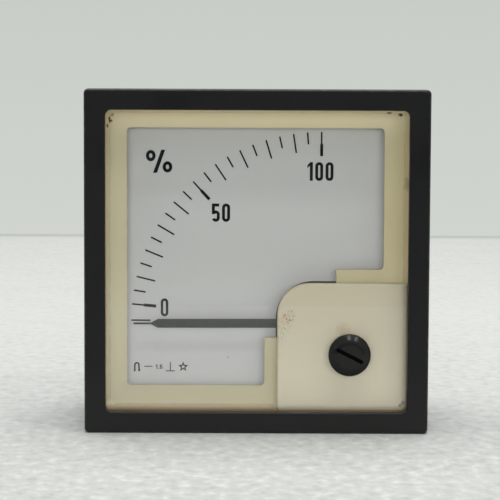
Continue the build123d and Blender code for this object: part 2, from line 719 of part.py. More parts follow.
# Steel staffs with ground points, cemented to the two ends of the coil
pivot_place = [(pivot_x, pivot_z)]
front_flange = coil_front - STAFF_FLANGE_THICK
front_staff = [
    (0, front_point),
    (STAFF_RADIUS, front_point + STAFF_CONE),
    (STAFF_RADIUS, front_flange),
    (STAFF_FLANGE, front_flange),
    (STAFF_FLANGE, coil_front),
    (0, coil_front),
]
turned("front_pivot", pivot_place, front_staff)
rear_staff = [
    (0, coil_back),
    (STAFF_FLANGE, coil_back),
    (STAFF_FLANGE, rear_flange),
    (STAFF_RADIUS, rear_flange),
    (STAFF_RADIUS, rear_point - STAFF_CONE),
    (0, rear_point),
]
turned("rear_pivot", pivot_place, rear_staff)
hairspring("front_hairspring", spring_back, lug_direction)
hairspring("rear_hairspring", rear_spring_back, ANCHOR_ANGLE)

# Front bearing: a cupped jewel in a brass screw
front_screw_front = bridge_front - JEWEL_SCREW_PROUD
front_jewel_front = front_jewel_back - JEWEL_LENGTH
front_screw = [
    (0, front_screw_front),
    (JEWEL_SCREW_RADIUS, front_screw_front),
    (JEWEL_SCREW_RADIUS, front_jewel_back),
    (JEWEL_RADIUS, front_jewel_back),
    (JEWEL_RADIUS, front_jewel_front),
    (0, front_jewel_front),
]
turned("front_jewel_screw", pivot_place, front_screw)
front_jewel = [
    (0, front_jewel_front),
    (JEWEL_RADIUS, front_jewel_front),
    (JEWEL_RADIUS, front_jewel_back),
    (JEWEL_CUP_RADIUS, front_jewel_back),
    (0, front_jewel_back - JEWEL_CUP_DEPTH),
]
turned("front_jewel", pivot_place, front_jewel)

# Bridge over the pointer's hub, screwed to two pillars on the yoke
with BuildPart() as front_bridge:
    for pillar_angle in PILLAR_ANGLES:
        with BuildSketch(on_axis(bridge_back, pillar_angle)):
            Circle(BRIDGE_END)
            with Locations((yoke_middle / 2, 0)):
                Rectangle(yoke_middle, BRIDGE_WIDTH)
            with Locations((yoke_middle, 0)):
                Circle(BRIDGE_END)
        extrude(amount=BRIDGE_THICK)
    with BuildSketch(on_axis(bridge_back)):
        Circle(JEWEL_SCREW_RADIUS)
    extrude(amount=BRIDGE_THICK, mode=Mode.SUBTRACT)
    for x, z in around_pivot(yoke_middle, PILLAR_ANGLES):
        with BuildSketch(lengthwise(x, z)):
            with BuildLine():
                Polyline(
                    (0, bridge_front),
                    (PILLAR_SCREW_HEAD, bridge_front),
                    (PILLAR_SCREW, bridge_back),
                    (0, bridge_back),
                    close=True,
                )
            make_face()
        revolve(axis=Axis((x, 0, z), (0, 1, 0)), mode=Mode.SUBTRACT)
save(front_bridge, "front_bridge")

pillar_places = around_pivot(yoke_middle, PILLAR_ANGLES)
pillar_screw_end = bridge_back + PILLAR_SCREW_LENGTH
pillar = [
    (PILLAR_SCREW, bridge_back),
    (PILLAR_RADIUS, bridge_back),
    (PILLAR_RADIUS, core_front),
    (0, core_front),
    (0, pillar_screw_end),
    (PILLAR_SCREW, pillar_screw_end),
]
turned("bridge_pillars", pillar_places, pillar)
bridge_screw = [
    (0, bridge_front),
    (PILLAR_SCREW_HEAD, bridge_front),
    (PILLAR_SCREW, bridge_back),
    (PILLAR_SCREW, pillar_screw_end),
    (0, pillar_screw_end),
]
turned("bridge_screws", pillar_places, bridge_screw)

# Zero lever: turns on the jewel screw, forked for the adjuster's pin, with a lug for the hairspring
pin_reach = ADJUSTER_REACH + PIN_THROW
fork_end = pin_reach + FORK_PAST
fork_slot = pin_reach - FORK_BACK
lug_end = lug_inside + LUG_LENGTH
with BuildPart() as zero_lever:
    with BuildSketch(on_axis(lever_back, ADJUSTER_ANGLE)):
        Circle(LEVER_RING)
        Rectangle(fork_end, LEVER_ARM, align=(Align.MIN, Align.CENTER))
        with Locations((fork_end, 0)):
            Rectangle(fork_end - fork_slot + LEVER_ARM / 2, FORK_WIDTH, align=(Align.MAX, Align.CENTER))
        Rectangle(lug_end, LUG_WIDTH, align=(Align.MAX, Align.CENTER))
        Circle(JEWEL_SCREW_RADIUS + BEARING_PLAY, mode=Mode.SUBTRACT)
        with Locations((fork_end, 0)):
            slot_width = 2 * (PIN_RADIUS + FORK_PLAY)
            Rectangle(fork_end - fork_slot, slot_width, align=(Align.MAX, Align.CENTER), mode=Mode.SUBTRACT)
    extrude(amount=LEVER_THICK)
    with BuildSketch(on_axis(spring_back, ADJUSTER_ANGLE)):
        with Locations((-lug_inside, 0)):
            Rectangle(LUG_LENGTH, LUG_WIDTH, align=(Align.MAX, Align.CENTER))
    extrude(amount=spring_back - lever_back)
save(zero_lever, "zero_lever")

# Magnet core, the two spacers that hold it, and the soft-iron yoke round it
core = [(0, core_front), (CORE_RADIUS, core_front), (CORE_RADIUS, core_back), (0, core_back)]
turned("core_magnet", pivot_place, core)
with BuildPart() as core_spacers:
    for direction in (spacer_direction, spacer_direction + 180):
        with BuildSketch(on_axis(core_back - SPACER_SETBACK, direction)):
            with BuildLine():
                outer_arc = CenterArc((0, 0), yoke_inside, -SPACER_ANGLE / 2, SPACER_ANGLE)
                inner_arc = CenterArc((0, 0), CORE_RADIUS, -SPACER_ANGLE / 2, SPACER_ANGLE)
                Line(outer_arc @ 0, inner_arc @ 0)
                Line(outer_arc @ 1, inner_arc @ 1)
            make_face()
        extrude(amount=spacer_length)
save(core_spacers, "core_spacers")

bolt_places = around_pivot(yoke_middle, BOLT_ANGLES)
with BuildPart() as yoke_ring:
    with BuildSketch(on_axis(core_back)):
        Circle(yoke_outside)
        Circle(yoke_inside, mode=Mode.SUBTRACT)
    extrude(amount=core_length)
    for x, z in bolt_places:
        with BuildSketch(across(core_back, x, z)):
            Circle(BOLT_RADIUS)
        extrude(amount=BOLT_IN_YOKE, mode=Mode.SUBTRACT)
save(yoke_ring, "yoke_ring")

# Base plate: a disc with three ears, carrying the rear bearing and the yoke
ear_places = around_pivot(ear_reach, BASE_EAR_ANGLES)
anchor_reach = lug_inside + ANCHOR_BLOCK / 2
anchor_place = around_pivot(anchor_reach, [ANCHOR_ANGLE])
with BuildPart() as movement_base:
    with BuildSketch(on_axis(base_back)):
        Circle(BASE_RADIUS)
        for ear_angle in BASE_EAR_ANGLES:
            with PolarLocations(ear_reach, 1, start_angle=ear_angle):
                Circle(BASE_EAR)
                Rectangle(ear_reach, 2 * BASE_EAR, align=(Align.MAX, Align.CENTER))
        Circle(REAR_SCREW_RADIUS, mode=Mode.SUBTRACT)
    extrude(amount=BASE_THICK)
    with BuildSketch(across(base_back)):
        with Locations(*ear_places):
            Circle(SCREW_RADIUS + SCREW_PLAY)
        with Locations(*bolt_places):
            Circle(BOLT_RADIUS + SCREW_PLAY)
        with Locations(*anchor_place):
            Circle(ANCHOR_STEM)
    extrude(amount=BASE_THICK, mode=Mode.SUBTRACT)
save(movement_base, "movement_base")

turned("yoke_posts", bolt_places, tube(BOLT_RADIUS + SCREW_PLAY, YOKE_POST_RADIUS, core_back, base_front))
yoke_bolt = screw(BOLT_RADIUS, BOLT_HEAD, base_back + BOLT_HEAD_THICK, base_back, core_back - BOLT_IN_YOKE)
turned("yoke_bolts", bolt_places, yoke_bolt)
base_screw_end = base_front + SCREW_LENGTH
base_screw = screw(SCREW_RADIUS, SCREW_HEAD, base_front - SCREW_HEAD_THICK, base_front, base_screw_end)
turned("base_screws", ear_places, base_screw)

# Rear bearing: jewel screw with its lock nut behind the base
rear_jewel_back = rear_jewel_front + JEWEL_LENGTH
rear_screw_end = base_back + REAR_SCREW_PAST
rear_screw = [
    (JEWEL_RADIUS, rear_jewel_front),
    (REAR_SCREW_RADIUS, rear_jewel_front),
    (REAR_SCREW_RADIUS, rear_screw_end),
    (0, rear_screw_end),
    (0, rear_jewel_back),
    (JEWEL_RADIUS, rear_jewel_back),
]
turned("rear_jewel_screw", pivot_place, rear_screw)
rear_jewel = [
    (0, rear_jewel_front + JEWEL_CUP_DEPTH),
    (JEWEL_CUP_RADIUS, rear_jewel_front),
    (JEWEL_RADIUS, rear_jewel_front),
    (JEWEL_RADIUS, rear_jewel_back),
    (0, rear_jewel_back),
]
turned("rear_jewel", pivot_place, rear_jewel)
lock_nut_back = base_back + LOCK_NUT_THICK
hex_nuts("jewel_lock_nut", pivot_place, LOCK_NUT_FLATS, REAR_SCREW_RADIUS, base_back, lock_nut_back)

# Insulated post that holds the outer end of the rear hairspring
with BuildPart() as spring_anchor:
    with BuildSketch(on_axis(base_front, ANCHOR_ANGLE)):
        with Locations((lug_inside, 0)):
            Rectangle(ANCHOR_BLOCK, ANCHOR_BLOCK, align=(Align.MIN, Align.CENTER))
    extrude(amount=base_front - rear_spring_front)
    with BuildSketch(across(base_back + ANCHOR_PAST, *anchor_place[0])):
        Circle(ANCHOR_STEM)
    extrude(amount=base_back + ANCHOR_PAST - base_front)
save(spring_anchor, "spring_anchor")

# Rear housing: a moulded box with corner posts, bosses for the movement and clamp recesses
clamp_middle = HOUSING_DEPTH - CLAMP_END - CLAMP_LENGTH / 2
with BuildPart() as rear_housing:
    with BuildSketch(across(HOUSING_DEPTH)):
        RectangleRounded(housing_side, housing_side, HOUSING_CORNER)
    extrude(amount=HOUSING_DEPTH - rim_front)
    fillet(rear_housing.faces().sort_by(Axis.Y)[-1].edges(), HOUSING_EDGE)
    with BuildSketch(across(housing_floor)):
        RectangleRounded(housing_inside, housing_inside, WINDOW_CORNER)
    extrude(amount=housing_floor - rim_front, mode=Mode.SUBTRACT)
    with BuildSketch(across(window_back)):
        RectangleRounded(rim_inside, rim_inside, WINDOW_CORNER)
    extrude(amount=window_back - rim_front, mode=Mode.SUBTRACT)
    with BuildSketch(*side_planes):
        with Locations(*snap_points):
            Circle(SNAP_RADIUS + GROOVE_PLAY)
    extrude(amount=SNAP_LENGTH / 2 + GROOVE_PLAY, both=True, mode=Mode.SUBTRACT)
    for x, z, top in [(*place, dial_back) for place in dial_posts] + [(post_place, -post_place, dial_front)]:
        with BuildSketch(across(HOUSING_DEPTH - REAR_WALL / 2, x, z)):
            Circle(POST_RADIUS)
        extrude(amount=HOUSING_DEPTH - REAR_WALL / 2 - top)
    with BuildSketch(across(HOUSING_DEPTH - REAR_WALL / 2)):
        with Locations(*ear_places):
            Circle(BASE_EAR)
    extrude(amount=HOUSING_DEPTH - REAR_WALL / 2 - base_back)
    with BuildSketch(across(boss_back)):
        with Locations(*stud_places):
            Circle(BOSS_RADIUS)
    extrude(amount=boss_back - housing_floor)
    with BuildSketch(across(boss_back)):
        with Locations(*stud_places):
            Circle(STUD_RADIUS + STUD_PLAY)
    extrude(amount=boss_back - housing_floor, mode=Mode.SUBTRACT)
    with BuildSketch(across(base_screw_end)):
        with Locations(*ear_places):
            Circle(SCREW_RADIUS + SCREW_PLAY)
    extrude(amount=SCREW_LENGTH - BASE_THICK, mode=Mode.SUBTRACT)
    with BuildSketch(across(dial_screw_end)):
        with Locations(*dial_posts):
            Circle(DIAL_SCREW_RADIUS + SCREW_PLAY)
    extrude(amount=DIAL_SCREW_LENGTH - DIAL_THICK, mode=Mode.SUBTRACT)
    for side in (-1, 1):
        with BuildSketch(Plane.YZ.offset(side * housing_side / 2)):
            with Locations((clamp_middle, 0)):
                Rectangle(CLAMP_LENGTH, CLAMP_WIDTH)
                Rectangle(CLAMP_NOSE_LENGTH, CLAMP_NOSE, mode=Mode.SUBTRACT)
        extrude(amount=-side * CLAMP_DEPTH, mode=Mode.SUBTRACT)
save(rear_housing, "rear_housing")

# Circuit board on the two terminal studs, with the resistor in series with the coil
with BuildPart() as circuit_board:
    with BuildSketch(across(board_back)):
        with Locations((0, STUD_HEIGHT)):
            RectangleRounded(BOARD_LENGTH, BOARD_WIDTH, BOARD_CORNER)
        with Locations(*stud_places):
            Circle(STUD_RADIUS + STUD_PLAY, mode=Mode.SUBTRACT)
    extrude(amount=BOARD_THICK)
save(circuit_board, "circuit_board")

resistor_depth = board_front - RESISTOR_STAND
with BuildPart() as series_resistor:
    with BuildSketch(Plane.YZ):
        with Locations((resistor_depth, STUD_HEIGHT)):
            Circle(RESISTOR_RADIUS)
    extrude(amount=RESISTOR_LENGTH / 2, both=True)
    fillet(series_resistor.edges(), RESISTOR_RADIUS / 3)
    with BuildLine() as wire:
        FilletPolyline(
            (-RESISTOR_SPAN / 2, board_front, STUD_HEIGHT),
            (-RESISTOR_SPAN / 2, resistor_depth, STUD_HEIGHT),
            (RESISTOR_SPAN / 2, resistor_depth, STUD_HEIGHT),
            (RESISTOR_SPAN / 2, board_front, STUD_HEIGHT),
            radius=3 * RESISTOR_WIRE,
        )
    with BuildSketch(across(board_front, -RESISTOR_SPAN / 2, STUD_HEIGHT)):
        Circle(RESISTOR_WIRE)
    sweep(path=wire.wire())
save(series_resistor, "series_resistor")

# Two insulated wires: board to the base plate, and board to the rear hairspring's post
board_low = STUD_HEIGHT - BOARD_WIDTH / 2
frame_lead_x = pivot_x + BASE_EAR
base_middle = (base_front + base_back) / 2
frame_lead_end = pivot_z + sqrt(BASE_RADIUS**2 - (BASE_EAR - LEAD_RADIUS) ** 2)
with BuildPart() as frame_lead:
    with BuildLine() as frame_route:
        FilletPolyline(
            (frame_lead_x, board_front, board_low + BOARD_CORNER),
            (frame_lead_x, base_middle, board_low + BOARD_CORNER),
            (frame_lead_x, base_middle, frame_lead_end),
            radius=LEAD_BEND,
        )
    with BuildSketch(across(board_front, frame_lead_x, board_low + BOARD_CORNER)):
        Circle(LEAD_RADIUS)
    sweep(path=frame_route.wire())
save(frame_lead, "frame_lead")

anchor_x, anchor_z = anchor_place[0]
tag_depth = base_back + ANCHOR_PAST / 2
board_middle = (board_front + board_back) / 2
spring_lead_x = ear_places[0][0] - BASE_EAR - LEAD_GAP
with BuildPart() as spring_lead:
    with BuildLine() as spring_route:
        FilletPolyline(
            (spring_lead_x, board_middle, board_low),
            (spring_lead_x, board_middle, board_low - LEAD_DROP),
            (anchor_x, tag_depth, anchor_z + LEAD_DROP),
            (anchor_x, tag_depth, anchor_z + ANCHOR_STEM),
            radius=LEAD_BEND,
        )
    with BuildSketch(Plane(origin=(spring_lead_x, board_middle, board_low), z_dir=(0, 0, -1))):
        Circle(LEAD_RADIUS)
    sweep(path=spring_route.wire())
save(spring_lead, "spring_lead")

# Terminals: two brass studs through the rear wall, with their nuts and washers
stud = [
    (0, board_front - STUD_INSIDE),
    (STUD_RADIUS, board_front - STUD_INSIDE),
    (STUD_RADIUS, board_back),
    (STUD_COLLAR, board_back),
    (STUD_COLLAR, housing_floor),
    (STUD_RADIUS, housing_floor),
    (STUD_RADIUS, stud_end - STUD_POINT),
    (STUD_RADIUS - STUD_POINT, stud_end),
    (0, stud_end),
]
turned("terminal_studs", stud_places, stud)
hex_nuts("board_nuts", stud_places, NUT_FLATS, STUD_RADIUS + FIT, board_front - NUT_THICK, board_front)
hex_nuts("fixing_nuts", stud_places, NUT_FLATS, STUD_RADIUS + FIT, boss_back, fixing_nut_back)
flat_washer = tube(STUD_RADIUS + STUD_PLAY, WASHER_OUTER, fixing_nut_back, washer_back)
turned("terminal_washers", stud_places, flat_washer)
with BuildPart() as lock_washers:
    for x, z in stud_places:
        with BuildSketch(across(lock_washer_back, x, z)):
            Circle(LOCK_WASHER_OUTER)
            Circle(STUD_RADIUS + STUD_PLAY, mode=Mode.SUBTRACT)
            upwards = (Align.CENTER, Align.MIN)
            Rectangle(LOCK_WASHER_SPLIT, LOCK_WASHER_OUTER, align=upwards, mode=Mode.SUBTRACT)
        extrude(amount=LOCK_WASHER_THICK)
save(lock_washers, "lock_washers")
hex_nuts("terminal_nuts", stud_places, NUT_FLATS, STUD_RADIUS + FIT, lock_washer_back, terminal_nut_back)
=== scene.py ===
from math import atan, cos, pi, radians, sin, tan

import bmesh
import bpy
from mathutils import Matrix, Vector


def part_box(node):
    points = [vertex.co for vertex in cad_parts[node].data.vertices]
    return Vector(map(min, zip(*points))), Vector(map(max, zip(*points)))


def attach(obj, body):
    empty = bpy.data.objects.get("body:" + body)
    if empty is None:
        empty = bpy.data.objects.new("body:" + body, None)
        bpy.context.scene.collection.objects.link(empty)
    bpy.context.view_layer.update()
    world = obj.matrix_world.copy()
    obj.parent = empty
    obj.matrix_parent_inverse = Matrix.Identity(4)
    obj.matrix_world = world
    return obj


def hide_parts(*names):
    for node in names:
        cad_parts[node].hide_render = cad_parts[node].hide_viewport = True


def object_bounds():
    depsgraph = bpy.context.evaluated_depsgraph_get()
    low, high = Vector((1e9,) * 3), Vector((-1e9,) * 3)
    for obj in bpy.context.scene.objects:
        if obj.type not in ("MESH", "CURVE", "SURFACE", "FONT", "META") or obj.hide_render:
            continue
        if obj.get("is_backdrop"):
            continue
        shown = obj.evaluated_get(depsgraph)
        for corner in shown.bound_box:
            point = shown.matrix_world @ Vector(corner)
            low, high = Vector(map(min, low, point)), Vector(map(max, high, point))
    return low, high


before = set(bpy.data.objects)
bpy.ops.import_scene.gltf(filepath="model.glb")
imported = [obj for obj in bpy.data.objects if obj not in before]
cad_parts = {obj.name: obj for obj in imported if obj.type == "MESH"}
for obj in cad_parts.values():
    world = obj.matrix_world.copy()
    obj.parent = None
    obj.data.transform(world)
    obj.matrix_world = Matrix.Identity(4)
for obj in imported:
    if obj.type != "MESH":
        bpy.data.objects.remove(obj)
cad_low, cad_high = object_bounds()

MM = 0.001


# The studio: a sheet of pale bead foam under the meter, whose far edge fades into an even pale room.
# Two small lamps show on the knob, wide lamps light the meter from above and from in front, and a black card
# in front of it keeps the reflection in the pane dark.
def shade(red, green, blue):
    """A colour as it is read off a screen, turned into the light that Blender mixes."""
    parts = []
    for value in (red, green, blue):
        part = value / 255
        parts.append(part / 12.92 if part <= 0.04045 else ((part + 0.055) / 1.055) ** 2.4)
    return (*parts, 1.0)


def put(tree, kind, feeds=None, **settings):
    """One node in a tree, with its settings, its plain values and its links."""
    made = tree.nodes.new(kind)
    for key, value in settings.items():
        setattr(made, key, value)
    for socket, value in (feeds or {}).items():
        if isinstance(value, bpy.types.NodeSocket):
            tree.links.new(value, made.inputs[socket])
        else:
            made.inputs[socket].default_value = value
    return made


def sums(tree, operation, first, second=0.0, third=0.0):
    """A number worked out from up to three others."""
    made = put(tree, "ShaderNodeMath", {0: first, 1: second, 2: third}, operation=operation)
    return made.outputs[0]


def times(tree, first, second):
    """One number times another."""
    return sums(tree, "MULTIPLY", first, second)


def between(tree, value, low, high, to_low=0.0, to_high=1.0, smooth=False):
    """A number carried from one range to another and held at its ends."""
    made = put(tree, "ShaderNodeMapRange", {"Value": value, "From Min": low, "From Max": high,
                                            "To Min": to_low, "To Max": to_high})
    if smooth:
        made.interpolation_type = "SMOOTHSTEP"
    return made.outputs[0]


def mixed(tree, amount, first, second):
    """A colour between two others."""
    return put(tree, "ShaderNodeMix", {0: amount, 6: first, 7: second}, data_type="RGBA").outputs[2]


def new_finish(name, plain):
    """A material with its shader's plain values set. Gives the material, its tree and its shader."""
    made = bpy.data.materials.new(name)
    made.use_nodes = True
    shader = made.node_tree.nodes["Principled BSDF"]
    for socket, value in plain.items():
        shader.inputs[socket].default_value = value
    return made, made.node_tree, shader


def here(tree):
    """The place on the piece, in metres."""
    return put(tree, "ShaderNodeTexCoord").outputs["Object"]


def axes(tree):
    """The place on the piece, as its sideways, depth and height parts in metres."""
    return put(tree, "ShaderNodeSeparateXYZ", {0: here(tree)}).outputs


def noise(tree, place, scale, detail):
    """A cloudy pattern of numbers about a half."""
    return put(tree, "ShaderNodeTexNoise", {"Vector": place, "Scale": scale, "Detail": detail}).outputs[0]


def paint(tree, shader, colour, roughness):
    """Gives a shader its colour and its roughness."""
    tree.links.new(colour, shader.inputs["Base Color"])
    tree.links.new(roughness, shader.inputs["Roughness"])


def raise_bump(tree, shader, height, depth):
    """A fine relief of that depth in metres."""
    made = put(tree, "ShaderNodeBump", {"Height": height, "Distance": depth, "Strength": 1.0})
    tree.links.new(made.outputs[0], shader.inputs["Normal"])


def add_mesh(name, shape, material):
    """A piece at the origin from a bmesh, with its faces turned outwards."""
    bmesh.ops.recalc_face_normals(shape, faces=shape.faces)
    mesh = bpy.data.meshes.new(name)
    shape.to_mesh(mesh)
    shape.free()
    mesh.materials.append(material)
    piece = bpy.data.objects.new(name, mesh)
    bpy.context.scene.collection.objects.link(piece)
    return piece


def join_rings(shape, rings, capped=False):
    """Faces from each ring of points to the next, and over the two end rings if capped."""
    for first, second in zip(rings, rings[1:]):
        for i in range(len(first)):
            j = (i + 1) % len(first)
            shape.faces.new((first[i], first[j], second[j], second[i]))
    if capped:
        shape.faces.new(rings[0])
        shape.faces.new(rings[-1])


SHEET_TOP = cad_low.z
SHEET_FAR = 0.666
SHEET_NEAR = -1.3
SHEET_SIDE = 1.6
SHEET_THICK = 0.03
SHEET_FADE = 0.03
BEAD = 0.0032
BEAD_RELIEF = 0.0001
FLECK_WIDE = 0.0032
FLECK_DEEP = 0.0052
# Painted light: the foam is painted lighter towards its far side, a painted pool of light from the lamp
# above.
FOAM_NEAR = shade(212, 214, 210), shade(196, 199, 194)
FOAM_FAR = shade(231, 234, 229), shade(213, 217, 211)
FOAM_GLINT = shade(240, 242, 239)
FOAM_GAP_SHADE = shade(186, 190, 186)
FOAM_EDGE = shade(200, 204, 198)

foam, tree, shader = new_finish("bead_foam", {"Specular IOR Level": 0.1, "Roughness": 0.9})
place = here(tree)
depth = axes(tree)[1]
beads = put(tree, "ShaderNodeTexVoronoi", {"Vector": place, "Scale": 1 / BEAD, "Randomness": 0.8}).outputs[0]
bead_tone = between(tree, beads, 0.25, 0.75, 0.0, 0.35, smooth=True)
speckle = times(tree, bead_tone, between(tree, noise(tree, place, 40.0, 3.0), 0.3, 0.7))
near_foam, far_foam = mixed(tree, speckle, *FOAM_NEAR), mixed(tree, speckle, *FOAM_FAR)
foam_tone = mixed(tree, between(tree, depth, -0.15, 0.3, smooth=True), near_foam, far_foam)
rows = put(tree, "ShaderNodeVectorMath", {0: place, 1: (1 / FLECK_WIDE, 1 / FLECK_DEEP, 0.0)},
           operation="MULTIPLY").outputs[0]
flecks = noise(tree, rows, 1.0, 3.0)
# Painted light: streaks of painted glints on the beads and painted shade in the gaps between them, strongest
# near the meter.
nearness = between(tree, depth, -0.05, 0.25, 1.0, 0.3)
bead_glint = times(tree, between(tree, flecks, 0.52, 0.76, 0.0, 0.75), nearness)
foam_tone = mixed(tree, bead_glint, foam_tone, FOAM_GLINT)
bead_gap_shade = times(tree, between(tree, flecks, 0.28, 0.48, 0.6, 0.0), nearness)
foam_tone = mixed(tree, bead_gap_shade, foam_tone, FOAM_GAP_SHADE)
fade = between(tree, depth, SHEET_FAR - SHEET_FADE, SHEET_FAR, smooth=True)
tree.links.new(mixed(tree, fade, foam_tone, FOAM_EDGE), shader.inputs["Base Color"])
raise_bump(tree, shader, beads, BEAD_RELIEF)

shape = bmesh.new()
corners = ((-SHEET_SIDE, SHEET_NEAR), (SHEET_SIDE, SHEET_NEAR), (SHEET_SIDE, SHEET_FAR),
           (-SHEET_SIDE, SHEET_FAR))
rings = []
for z in (SHEET_TOP, SHEET_TOP - SHEET_THICK):
    rings.append([shape.verts.new((x, y, z)) for x, y in corners])
join_rings(shape, rings, capped=True)
add_mesh("foam_sheet", shape, foam)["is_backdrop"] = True

ROOM_COLOUR = shade(202, 207, 201)
ROOM_LIGHT = 0.2
room = bpy.data.worlds.new("pale_room")
room.use_nodes = True
bpy.context.scene.world = room
tree = room.node_tree
way = put(tree, "ShaderNodeLightPath").outputs
seen = sums(tree, "MAXIMUM", way["Is Camera Ray"],
            sums(tree, "MAXIMUM", way["Is Glossy Ray"], way["Is Transmission Ray"]))
backdrop = tree.nodes["Background"]
backdrop.inputs["Color"].default_value = ROOM_COLOUR
outwards = put(tree, "ShaderNodeTexCoord").outputs["Generated"]
upwards = put(tree, "ShaderNodeSeparateXYZ", {0: outwards}).outputs[2]
tree.links.new(between(tree, upwards, -0.08, 0.03, 1.06, 0.98), backdrop.inputs["Strength"])
glow = put(tree, "ShaderNodeBackground", {"Color": (ROOM_LIGHT, ROOM_LIGHT, ROOM_LIGHT, 1.0)})
shown = put(tree, "ShaderNodeMixShader", {0: seen, 1: glow.outputs[0], 2: backdrop.outputs[0]})
tree.links.new(shown.outputs[0], tree.nodes["World Output"].inputs["Surface"])


def hang_lamp(name, spot, wide, tall, watts):
    """A soft lamp that looks at the middle of the front."""
    light = bpy.data.lights.new(name, "AREA")
    light.shape = "RECTANGLE"
    light.size = wide
    light.size_y = tall
    light.energy = watts
    lamp = bpy.data.objects.new(name, light)
    lamp.location = spot
    lamp.rotation_euler = (-Vector(spot)).to_track_quat("-Z", "Y").to_euler()
    bpy.context.scene.collection.objects.link(lamp)
    return lamp


SMALL_LAMP = 0.1
SMALL_WATTS = 0.8
WIDE_LAMP = 1.3
WIDE_WATTS = 22.0
FRONT_WIDE, FRONT_TALL = 1.5, 0.5
FRONT_WATTS = 11.5
hang_lamp("lamp_middle", (0.03, -0.42, 0.8), SMALL_LAMP, SMALL_LAMP, SMALL_WATTS)
hang_lamp("lamp_right", (0.43, -0.42, 0.8), SMALL_LAMP, SMALL_LAMP, SMALL_WATTS)
hang_lamp("lamp_above", (0.0, 0.25, 1.6), WIDE_LAMP, WIDE_LAMP, WIDE_WATTS)
hang_lamp("lamp_front", (0.1, -1.6, 0.21), FRONT_WIDE, FRONT_TALL, FRONT_WATTS).visible_glossy = False

CARD_Y = -0.3
CARD_TOP = 0.12
CARD_SIDE = 0.6
CARD_FADE = 0.03
CARD_FOOT = shade(221, 223, 219)
CARD_BLACK = shade(10, 10, 10)
card_black, tree, shader = new_finish("card_black", {"Roughness": 1.0, "Specular IOR Level": 0.0})
darker = between(tree, axes(tree)[2], SHEET_TOP, SHEET_TOP + CARD_FADE, smooth=True)
tree.links.new(mixed(tree, darker, CARD_FOOT, CARD_BLACK), shader.inputs["Base Color"])
shape = bmesh.new()
shape.faces.new([shape.verts.new((x, CARD_Y, z)) for x, z in (
    (-CARD_SIDE, SHEET_TOP), (CARD_SIDE, SHEET_TOP), (CARD_SIDE, CARD_TOP), (-CARD_SIDE, CARD_TOP))])
card = add_mesh("black_card", shape, card_black)
card.visible_camera = False
card.visible_diffuse = False
card.visible_shadow = False
card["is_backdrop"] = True
bpy.context.scene.view_settings.view_transform = "Standard"


# The camera stands a little more than half a metre in front of the meter and a little above its middle.
# It has a long lens and looks slightly down, as the photograph does.
EYE = Vector((-2.1, -565.5, 54.1)) * MM
YAW, PITCH, ROLL = radians(0.02), radians(-5.16), radians(0.25)
forward = Vector((sin(YAW) * cos(PITCH), cos(YAW) * cos(PITCH), sin(PITCH)))
level = Vector((cos(YAW), -sin(YAW), 0))
upright = level.cross(forward)
right = cos(ROLL) * level + sin(ROLL) * upright
above = cos(ROLL) * upright - sin(ROLL) * level
lens = bpy.data.cameras.new("camera")
lens.lens = 146.0
lens.sensor_width = 36.0
camera = bpy.data.objects.new("camera", lens)
camera.matrix_world = Matrix.Translation(EYE) @ Matrix((right, above, -forward)).transposed().to_4x4()
bpy.context.scene.collection.objects.link(camera)
bpy.context.scene.camera = camera


# The housing is the black box that goes through the panel, moulded from filled phenolic.
# Its face has the fine dull grain of the mould, and it carries everything else.
def group_of(name, inputs, outputs):
    """An empty shader group with named sockets. Gives the group, what comes in and what goes out."""
    made = bpy.data.node_groups.new(name, "ShaderNodeTree")
    for label, kind, value in inputs:
        socket = made.interface.new_socket(label, in_out="INPUT", socket_type=kind)
        socket.default_value = value
    for label, kind in outputs:
        made.interface.new_socket(label, in_out="OUTPUT", socket_type=kind)
    return made, made.nodes.new("NodeGroupInput").outputs, made.nodes.new("NodeGroupOutput").inputs


NUMBER, PLACE, WHOLE = "NodeSocketFloat", "NodeSocketVector", "NodeSocketInt"

moulded_grain, given, result = group_of(
    "moulded_grain", [("Grain", NUMBER, 3000.0), ("Cloud", NUMBER, 60.0)],
    [("Tone", NUMBER), ("Gloss", NUMBER), ("Height", NUMBER)])
tree = moulded_grain
place = here(tree)
grain = noise(tree, place, given["Grain"], 2.0)
cloud = noise(tree, place, given["Cloud"], 4.0)
fine = between(tree, grain, 0.3, 0.7)
broad = between(tree, cloud, 0.3, 0.7)
blend = sums(tree, "MULTIPLY_ADD", fine, 0.45, times(tree, broad, 0.55))
tree.links.new(blend, result["Tone"])
tree.links.new(broad, result["Gloss"])
tree.links.new(grain, result["Height"])


def dress(finish, *nodes):
    """Gives CAD nodes a material."""
    for name in nodes:
        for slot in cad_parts[name].material_slots:
            slot.material = finish


def mould_of(tree, grain, cloud):
    """The marks of a mould: its tone, gloss and height."""
    return put(tree, "ShaderNodeGroup", {"Grain": grain, "Cloud": cloud}, node_tree=moulded_grain).outputs


def moulded(name, dark, light, dull, grain, cloud, specular, depth=0.0):
    """A moulded or printed finish: two tones, a range of roughness and the relief of the mould."""
    made, tree, shader = new_finish(name, {"Specular IOR Level": specular})
    mould = mould_of(tree, grain, cloud)
    roughness = between(tree, mould["Gloss"], 0.0, 1.0, *dull)
    paint(tree, shader, mixed(tree, mould["Tone"], dark, light), roughness)
    if depth:
        raise_bump(tree, shader, mould["Height"], depth)
    return made


housing_black = moulded(
    "housing_black", shade(24, 24, 25), shade(37, 37, 38), (0.5, 0.62), 2600.0, 70.0, 0.35, depth=0.00003)
dress(housing_black, "rear_housing")


